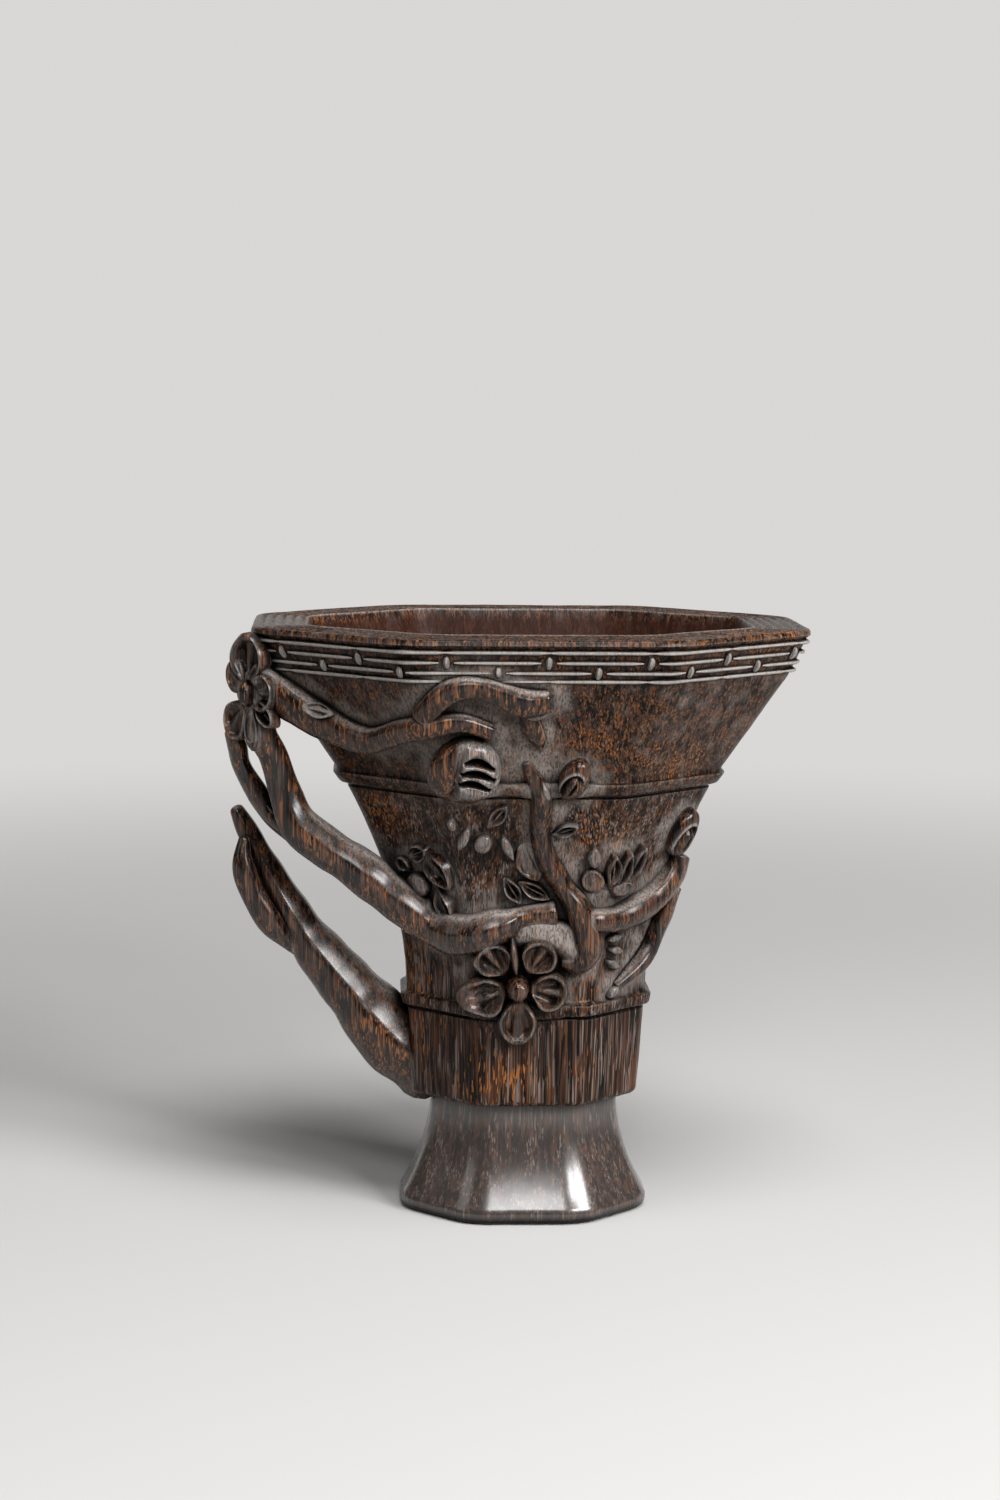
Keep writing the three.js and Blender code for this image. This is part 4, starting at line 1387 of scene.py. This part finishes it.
def stage_paint():
    """Pale paper that takes the shadow near the cup, turns to an even pale ground behind it and throws
    only part of its light back up at the cup."""
    paint = bpy.data.materials.new("pale_paper")
    paint.use_nodes = True
    tree = paint.node_tree
    nodes = Nodes(tree)
    paper = tree.nodes["Principled BSDF"]
    glow = nodes.add("Emission", {"Color": STAGE_COLOUR, "Strength": STAGE_LEVEL})[0]
    place = nodes.add("TexCoord", {})["Object"]
    away = nodes.add("VectorMath", {0: place}, operation="LENGTH")["Value"]
    path = nodes.add("LightPath", {})
    seen = nodes.plus(path["Is Camera Ray"], path["Is Glossy Ray"])
    seen = nodes.calculate("MINIMUM", nodes.plus(seen, path["Is Transmission Ray"]), 1.0)
    nodes.feed(paper.inputs["Base Color"], nodes.mix(seen, BOUNCE_COLOUR, STAGE_COLOUR))
    nodes.feed(paper.inputs["Roughness"], PAPER_ROUGHNESS)
    share = nodes.times(nodes.ramp(away, *STAGE_FADE), seen)
    both = nodes.add("MixShader", {0: share, 1: paper.outputs[0], 2: glow})[0]
    nodes.feed(tree.nodes["Material Output"].inputs["Surface"], both)
    return paint


def make_stage():
    """A pale floor that curves up into a backdrop."""
    bm = bmesh.new()
    bmesh.ops.create_grid(bm, x_segments=1, y_segments=1, size=FLOOR_REACH)
    far = [edge for edge in bm.edges if all(vert.co.y > 0 for vert in edge.verts)]
    next_ring(bm, far, Matrix.Translation((0, 0, BACKDROP_HEIGHT)))
    bmesh.ops.bevel(
        bm, geom=far, offset=FOLD_RADIUS, offset_type="OFFSET", segments=FOLD_STEPS, profile=0.5,
        affect="EDGES", material=-1,
    )
    stage = mesh_object("floor_and_backdrop", bm, stage_paint())


AIM = Vector((0, 0, 0.055))

# Lamps: name, place, size and watts
LAMPS = [
    ("right", (0.59, -0.48, 0.43), 0.28, 4.8),
    ("above", (0.06, -0.26, 0.72), 0.28, 2.7),
    ("front", (0.02, -0.62, 0.46), 0.20, 1.3),
    ("low_right", (0.40, -0.64, 0.40), 0.13, 1.8),
    ("left", (-0.70, -0.35, 0.40), 0.35, 0.45),
]


def make_lamps():
    for name, place, size, watts in LAMPS:
        light = bpy.data.lights.new(name, "AREA")
        light.shape = "SQUARE"
        light.size = size
        light.energy = watts
        holder = place_object(name, light)
        holder.location = place
        holder.rotation_mode = "QUATERNION"
        holder.rotation_quaternion = (AIM - Vector(place)).to_track_quat("-Z", "Y")


def make_sky():
    """A faint even light from all round, which the camera sees as the pale ground."""
    world = bpy.data.worlds.new("studio")
    bpy.context.scene.world = world
    world.use_nodes = True
    tree = world.node_tree
    nodes = Nodes(tree)
    sky = tree.nodes["Background"]
    nodes.feed(sky.inputs["Color"], WHITE)
    nodes.feed(sky.inputs["Strength"], SKY_LEVEL)
    seen = nodes.add("Background", {"Color": STAGE_COLOUR, "Strength": STAGE_LEVEL})[0]
    camera_ray = nodes.add("LightPath", {})["Is Camera Ray"]
    both = nodes.add("MixShader", {0: camera_ray, 1: sky.outputs[0], 2: seen})[0]
    nodes.feed(tree.nodes["World Output"].inputs["Surface"], both)


# The camera stands a little to the left of the front and above the lip
CAMERA_TURN = math.radians(-3)
CAMERA_DISTANCE = 437.9
CAMERA_HEIGHT = 132.9
CAMERA_SIDE = -4.33
CAMERA_PITCH = math.radians(7.64)
CAMERA_ROLL = math.radians(0.57)
CAMERA_LENS = 66
CAMERA_SENSOR = 36


def make_camera():
    data = bpy.data.cameras.new("photo_camera")
    data.lens = CAMERA_LENS
    data.sensor_width = CAMERA_SENSOR
    camera = place_object("photo_camera", data)
    right = Vector((math.cos(CAMERA_TURN), math.sin(CAMERA_TURN), 0))
    back = Vector((math.sin(CAMERA_TURN), -math.cos(CAMERA_TURN), 0))
    camera.location = (back * CAMERA_DISTANCE + right * CAMERA_SIDE + Vector((0, 0, CAMERA_HEIGHT))) * MM
    level = Matrix.Rotation(CAMERA_TURN, 4, "Z") @ Matrix.Rotation(math.pi / 2 - CAMERA_PITCH, 4, "X")
    camera.rotation_mode = "QUATERNION"
    camera.rotation_quaternion = (level @ Matrix.Rotation(CAMERA_ROLL, 4, "Z")).to_quaternion()
    bpy.context.scene.camera = camera


bpy.context.scene.view_settings.view_transform = "Standard"
make_camera()
make_stage()
make_lamps()
make_sky()
make_vessel()
make_foot()
make_fret_band()
make_branches()
make_blossoms()
make_buds()
